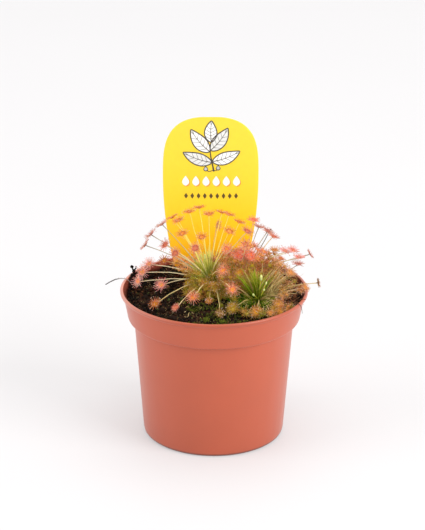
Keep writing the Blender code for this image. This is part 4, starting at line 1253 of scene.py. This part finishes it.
def crown(name, node_name, plant, depth, foot_r, seed, origin, sprays, buds, tuft, dry):
    """Tap root and stem, with a tuft of young leaves: sprays are count, azimuths, elevations, lengths, widths and
    painted light.
    """
    heart, r, spread = plant
    rng = random.Random(seed)
    s = Soup()
    # the stem: a knobbly column from the tap root up to the heart
    seg = 20
    ground = peat_height(heart.x, heart.y)
    rings, cols = [], []
    span = heart.z - ground
    for z, rad in ((ground - depth, 0.5), (ground - depth * 0.6, 1.4), (ground - 3, 2.6), (ground, foot_r * 0.5), (ground + 0.3 * span, r * 0.62),
                   (heart.z - r * 0.2, r * 0.5), (heart.z + r * 0.35, r * 0.42), (heart.z + r * 0.75, r * 0.2)):
        ring = []
        for k in range(seg):
            a = TAU * k / seg
            p = Vector((heart.x + rad * math.cos(a), heart.y + rad * math.sin(a), z))
            ring.append(p + Vector((math.cos(a), math.sin(a), 0)) * 0.35 * bump_noise(p, 1.6, seed))
        rings.append(ring)
        cols.append(srgb(60, 54, 20) if z < heart.z - r * 0.3 else srgb(38, 54, 6))
    s.lathe(rings, cols, 0, close=True)
    # young leaves and leaf stubs, packed round the heart
    deep, fresh, pale = tuft
    for count, az0, az1, el0, el1, len0, len1, w0, w1, light in sprays:
        for i in range(count):
            az = az0 + (az1 - az0) * (i + rng.random()) / count
            el = rng.uniform(el0, el1)
            d0 = direction(az, min(88, el + 12))
            d1 = direction(az + rng.uniform(-15, 15), el - rng.uniform(0, 18))
            L = rng.uniform(len0, len1)
            k = rng.random()
            # painted shade: blades that lie low are darkened at the foot; each spray's last number paints light, paler
            # above 0 as painted highlight and deeper below 0 as painted shade
            low = gain(mix(deep, gain(deep, 0.4), max(0.0, 1 - el / 45)), 0.7 + 0.6 * k)
            high = mix(fresh, pale, rng.random() ** 1.7)
            low, high = mix(low, fresh, max(0.0, light)), mix(high, pale, light) if light > 0 else gain(mix(high, deep, -light), 1.0)
            if rng.random() < dry:
                low, high = srgb(146, 128, 66), mix(srgb(206, 180, 120), srgb(190, 140, 84), rng.random())
            foot = heart + origin + d0 * rng.uniform(0.1, r * 0.6) + Vector((rng.gauss(0, 0.5), rng.gauss(0, 0.5), rng.uniform(-0.5, 0.3) * r))
            blade(s, foot, d0, d1, L, rng.uniform(w0, w1), low, high, rng)
    for x, y, z, h, w in buds:
        c = Vector((x, y, z))
        d = (c - heart).normalized()
        s.tube([heart + d * r * 0.4, c - d * h * 0.5], [0.26, 0.2], [fresh, pale], 5, cap=False)
        s.ball(c, (d + UP * 0.6).normalized(), w, srgb(214, 220, 140), 0, 8, 5, h / (2 * w), 0.06, rng)
    s.build(name, [GREEN], "crown", node_name)


OLD = [srgb(172, 152, 46), srgb(190, 160, 58), srgb(150, 140, 38), srgb(198, 166, 76), srgb(184, 122, 56), srgb(142, 138, 38)]
WARM = [srgb(236, 172, 80), srgb(230, 154, 74), srgb(206, 164, 58), srgb(238, 154, 92), srgb(192, 148, 50)]
skirt("crown_left_skirt", Vector((-2.8, 1.5, 71.6)), (10.0, 8.8, 5.8), 160, 1.5, OLD, 171, (srgb(84, 70, 20), srgb(96, 90, 24)))
skirt("crown_middle_skirt", Vector((14.0, 6.0, 70.6)), (9.0, 11.0, 6.2), 96, 1.5, OLD + [srgb(190, 112, 62)], 172, (srgb(80, 62, 20), srgb(120, 84, 34)))
skirt("crown_middle_mound", Vector((12.0, 9.5, 77.5)), (9.5, 8.5, 8.5), 130, 1.5, WARM, 174, (srgb(132, 86, 34), srgb(176, 112, 52)))
skirt("crown_right_skirt", Vector((23.5, -9.0, 69.0)), (6.0, 5.4, 2.0), 34, 1.3, [srgb(92, 84, 34), srgb(120, 104, 44), srgb(72, 80, 26)], 173)

crown("crown_left", "left_crown", LEFT_PLANT, 22, 6.0, 71, Vector((0, -0.6, -1.0)),
      ((70, 140, 245, 30, 68, 8, 14, 0.5, 0.9, 0), (50, 60, 300, 60, 88, 10, 18, 0.45, 0.85, 0), (46, 235, 345, 30, 72, 6, 11, 0.45, 0.8, -0.2), (24, 0, 140, 34, 70, 6, 10, 0.4, 0.75, 0),
       (26, 60, 280, 68, 88, 13, 18.0, 0.6, 1.0, 0.7)),
      ((-4.2, 4.5, 87.5, 3.2, 0.75),), (srgb(118, 138, 12), srgb(188, 194, 42), srgb(236, 228, 134)), 0.08)
crown("crown_middle", "middle_crown", MIDDLE_PLANT, 17, 5.0, 72, Vector((0, 0, 0)),
      ((70, 180, 360, 20, 88, 6, 14, 0.35, 0.7, 0), (40, 0, 180, 30, 85, 6, 12, 0.35, 0.7, 0), (16, 180, 290, 60, 82, 12, 16, 0.4, 0.7, 0.3)),
      (), (srgb(112, 112, 28), srgb(186, 168, 56), srgb(226, 198, 104)), 0.35)
crown("crown_right", "right_crown", RIGHT_PLANT, 19, 5.2, 73, Vector((-0.6, -0.6, -2.0)),
      ((110, 80, 200, 42, 88, 10, 18, 0.4, 0.75, 0), (60, 10, 80, 40, 80, 9, 16, 0.4, 0.75, 0), (70, 170, 350, 6, 50, 6, 11, 0.4, 0.8, -0.5), (30, 330, 420, 8, 42, 7, 12, 0.35, 0.7, -0.3)),
      ((22.2, -12.5, 83.8, 3.2, 0.68), (24.6, -12.0, 80.8, 1.8, 0.46), (23.6, -13.5, 78.0, 1.5, 0.42), (18.6, -17.2, 77.0, 1.9, 0.5)),
      (srgb(30, 54, 0), srgb(134, 154, 14), srgb(212, 198, 76)), 0.08)


def grass():
    """Short dark green leaves in a close stand round the foot of the right tuft."""
    rng = random.Random(77)
    s = Soup()
    for i in range(300):
        a, u = rng.uniform(0, TAU), math.sqrt(rng.random())
        x, y = 18.4 + 8.2 * u * math.cos(a), -15.2 + 5.6 * u * math.sin(a)
        d0 = direction(math.degrees(a) + rng.uniform(-40, 40), rng.uniform(52, 86))
        d1 = direction(math.degrees(a) + rng.uniform(-30, 30), rng.uniform(20, 66))
        low = gain(srgb(24, 54, 0), rng.uniform(0.35, 1.0))
        blade(s, Vector((x, y, peat_height(x, y) - 0.3)), d0, d1, rng.uniform(4.5, 8.5), rng.uniform(0.45, 0.8), low, mix(srgb(30, 76, 0), srgb(88, 132, 4), rng.random() ** 1.7), rng)
    # deep green leaves at the foot of the left tuft, where it opens to the front
    for i in range(46):
        a = rng.uniform(205, 335)
        foot = Vector((-0.6 + rng.gauss(0, 1.5), -0.8 + rng.gauss(0, 1.0), 75.6 + rng.uniform(-1.0, 1.4)))
        blade(s, foot, direction(a, rng.uniform(50, 86)), direction(a, rng.uniform(20, 66)), rng.uniform(3.6, 6.4), rng.uniform(0.4, 0.75),
              gain(srgb(44, 56, 4), rng.uniform(0.4, 1.0)), mix(srgb(66, 86, 6), srgb(122, 142, 22), rng.random() ** 1.5), rng)
    # olive stems of half-grown leaves in front of the middle rosette
    for i in range(44):
        az, el = rng.uniform(175, 350), rng.uniform(58, 88)
        foot = Vector((11.5 + rng.gauss(0, 3.0), 3.0 + rng.gauss(0, 1.6), 76.0 + rng.uniform(-1.5, 2.5)))
        c = gain(mix(srgb(172, 160, 48), srgb(226, 206, 104), rng.random()), rng.uniform(0.8, 1.05))
        blade(s, foot, direction(az, el), direction(az + rng.uniform(-20, 20), el - 14), rng.uniform(6, 11.5), rng.uniform(0.26, 0.46), mix(srgb(96, 96, 26), c, 0.35), c, rng, 5, 4, 0.8)
    # thin dry stalks that rake up and out to the right
    for i in range(90):
        az, el = rng.uniform(-28, 78), rng.uniform(8, 62)
        foot = Vector((22.5 + rng.gauss(0, 2.0), -10.0 + rng.gauss(0, 2.4), 70.6 + rng.uniform(0, 2.0)))
        c = gain(mix(srgb(150, 122, 66), srgb(226, 196, 134), rng.random() ** 1.2), rng.uniform(0.7, 1.1))
        blade(s, foot, direction(az, min(80, el + 12)), direction(az + rng.uniform(-10, 10), el - 8), rng.uniform(10, 20), rng.uniform(0.26, 0.42), mix(srgb(90, 96, 30), c, 0.4), c, rng, 5, 4, 0.8)
    s.build("crown_right_grass", [GREEN], "crown")


grass()


# ---------------------------------------------------------------- moss
def moss():
    rng = random.Random(19)
    s = Soup()
    seg = 40
    a0, a1 = math.radians(252), math.radians(297)
    # the cushion that the shoots stand on
    rows = 7
    top, low = [], []
    for i in range(rows + 1):
        r = 35.2 + (39.4 - 35.2) * i / rows
        for k in range(seg + 1):
            a = a0 + (a1 - a0) * k / seg
            x, y = r * math.cos(a), r * math.sin(a)
            edge = min(i, rows - i, k / 3, (seg - k) / 3)
            h = 0.9 * min(1.0, edge / 2.0) * (0.6 + 0.5 * bump_noise((x, y, 0), 2.2, 4.0))
            top.append(Vector((x, y, peat_top(x, y) + 0.35 + max(0.0, h))))
            low.append(Vector((x, y, peat_top(x, y) + 0.1)))
    base, w = len(s.v), seg + 1
    for p in top + low:
        s.v.append(p)
        s.c.append(mix(mix(srgb(34, 38, 14), srgb(66, 56, 26), 0.5 + 0.5 * bump_noise(p, 3.6, 8.0)), srgb(84, 102, 36), max(0.0, bump_noise(p, 1.5, 2.0))))
    nb = len(top)
    for i in range(rows):
        for k in range(seg):
            q = base + i * w + k
            s.f.append((q, q + w, q + w + 1, q + 1))
            s.f.append((q + nb, q + nb + 1, q + nb + w + 1, q + nb + w))
            s.m += [0, 0]
    loop = [base + k for k in range(w)] + [base + i * w + seg for i in range(1, rows + 1)]
    loop += [base + rows * w + k for k in reversed(range(seg))] + [base + i * w for i in reversed(range(1, rows))]
    for a, b in zip(loop, loop[1:] + loop[:1]):
        s.f.append((a, b, b + nb, a + nb))
        s.m.append(0)

    def shoot(x, y, h, bright):
        c = Vector((x, y, peat_top(x, y) + 0.2))
        lean = Vector((rng.gauss(0, 0.3), rng.gauss(0, 0.3), 1)).normalized()
        deep, tip = mix(srgb(28, 33, 7), srgb(60, 72, 16), bright), mix(srgb(68, 74, 20), srgb(138, 152, 46), bright)
        s.tube([c, c + lean * h], [0.14, 0.08], [deep, tip], 3, cap=False)
        for k in range(5):
            az = 360.0 * (k + rng.random()) / 5
            d = (direction(az, rng.uniform(15, 60)) + lean * 0.3).normalized()
            q = c + lean * h * (0.3 + 0.14 * k)
            L = rng.uniform(0.4, 0.8)
            s.tube([q, q + d * L * 0.55, q + d * L + UP * 0.1], [0.10, 0.15, 0.02], [deep, mix(deep, tip, 0.7), tip], 4, flat=0.35, across=Vector((-d.y, d.x, 0)), cap=False)

    for i in range(130):
        a, r = rng.uniform(a0 - 0.02, a1 + 0.02), rng.uniform(35.0, 40.0)
        x, y = r * math.cos(a), r * math.sin(a)
        size = rng.uniform(0.3, 0.75)
        s.ball(Vector((x, y, peat_top(x, y) + rng.uniform(0.5, 1.3))), Vector((rng.gauss(0, 1), rng.gauss(0, 1), 1)), size, gain(rng.choice([DARK, BROWN, srgb(70, 56, 26)]), rng.uniform(0.5, 1.3)), 0, 5, 2, 1.2, 0.3, rng)
    for cx, cy in ((1.5, -37.2), (4.0, -31.5), (9.5, -36.4), (14.5, -33.0), (-3.0, -32.0)):
        for i in range(14):
            shoot(cx + rng.gauss(0, 0.9), cy + rng.gauss(0, 0.7), rng.uniform(0.9, 1.9), rng.uniform(0.6, 1.25))
    for i in range(60):
        shoot(rng.gauss(5.0, 8.0), rng.gauss(-33.4, 1.5), rng.uniform(0.5, 1.2), rng.random() ** 1.8)
    for i in range(150):
        a, r = a0 + 0.02 + (a1 - a0 - 0.04) * rng.random() ** 0.6, rng.uniform(35.6, 39.3)
        shoot(r * math.cos(a), r * math.sin(a), rng.uniform(0.7, 1.7), rng.random() ** 1.5)
    for cx, cy, spread, count in ((2, -26, 5.5, 120), (24, -24, 5.5, 90), (28, -17, 4, 30), (-10, -17, 5, 70), (14, -20, 6, 90), (-12, 30, 6, 20), (30, 18, 5, 20), (-1, -15, 5, 60), (-13, -9, 4, 44)):
        for i in range(count):
            x, y = rng.gauss(cx, spread * 0.6), rng.gauss(cy, spread * 0.45)
            if math.hypot(x, y) < 40.5:
                shoot(x, y, rng.uniform(0.6, 1.5), rng.random() ** 1.3)
    s.build("moss_cushion", [MOSS], "moss", "moss_patch")


moss()
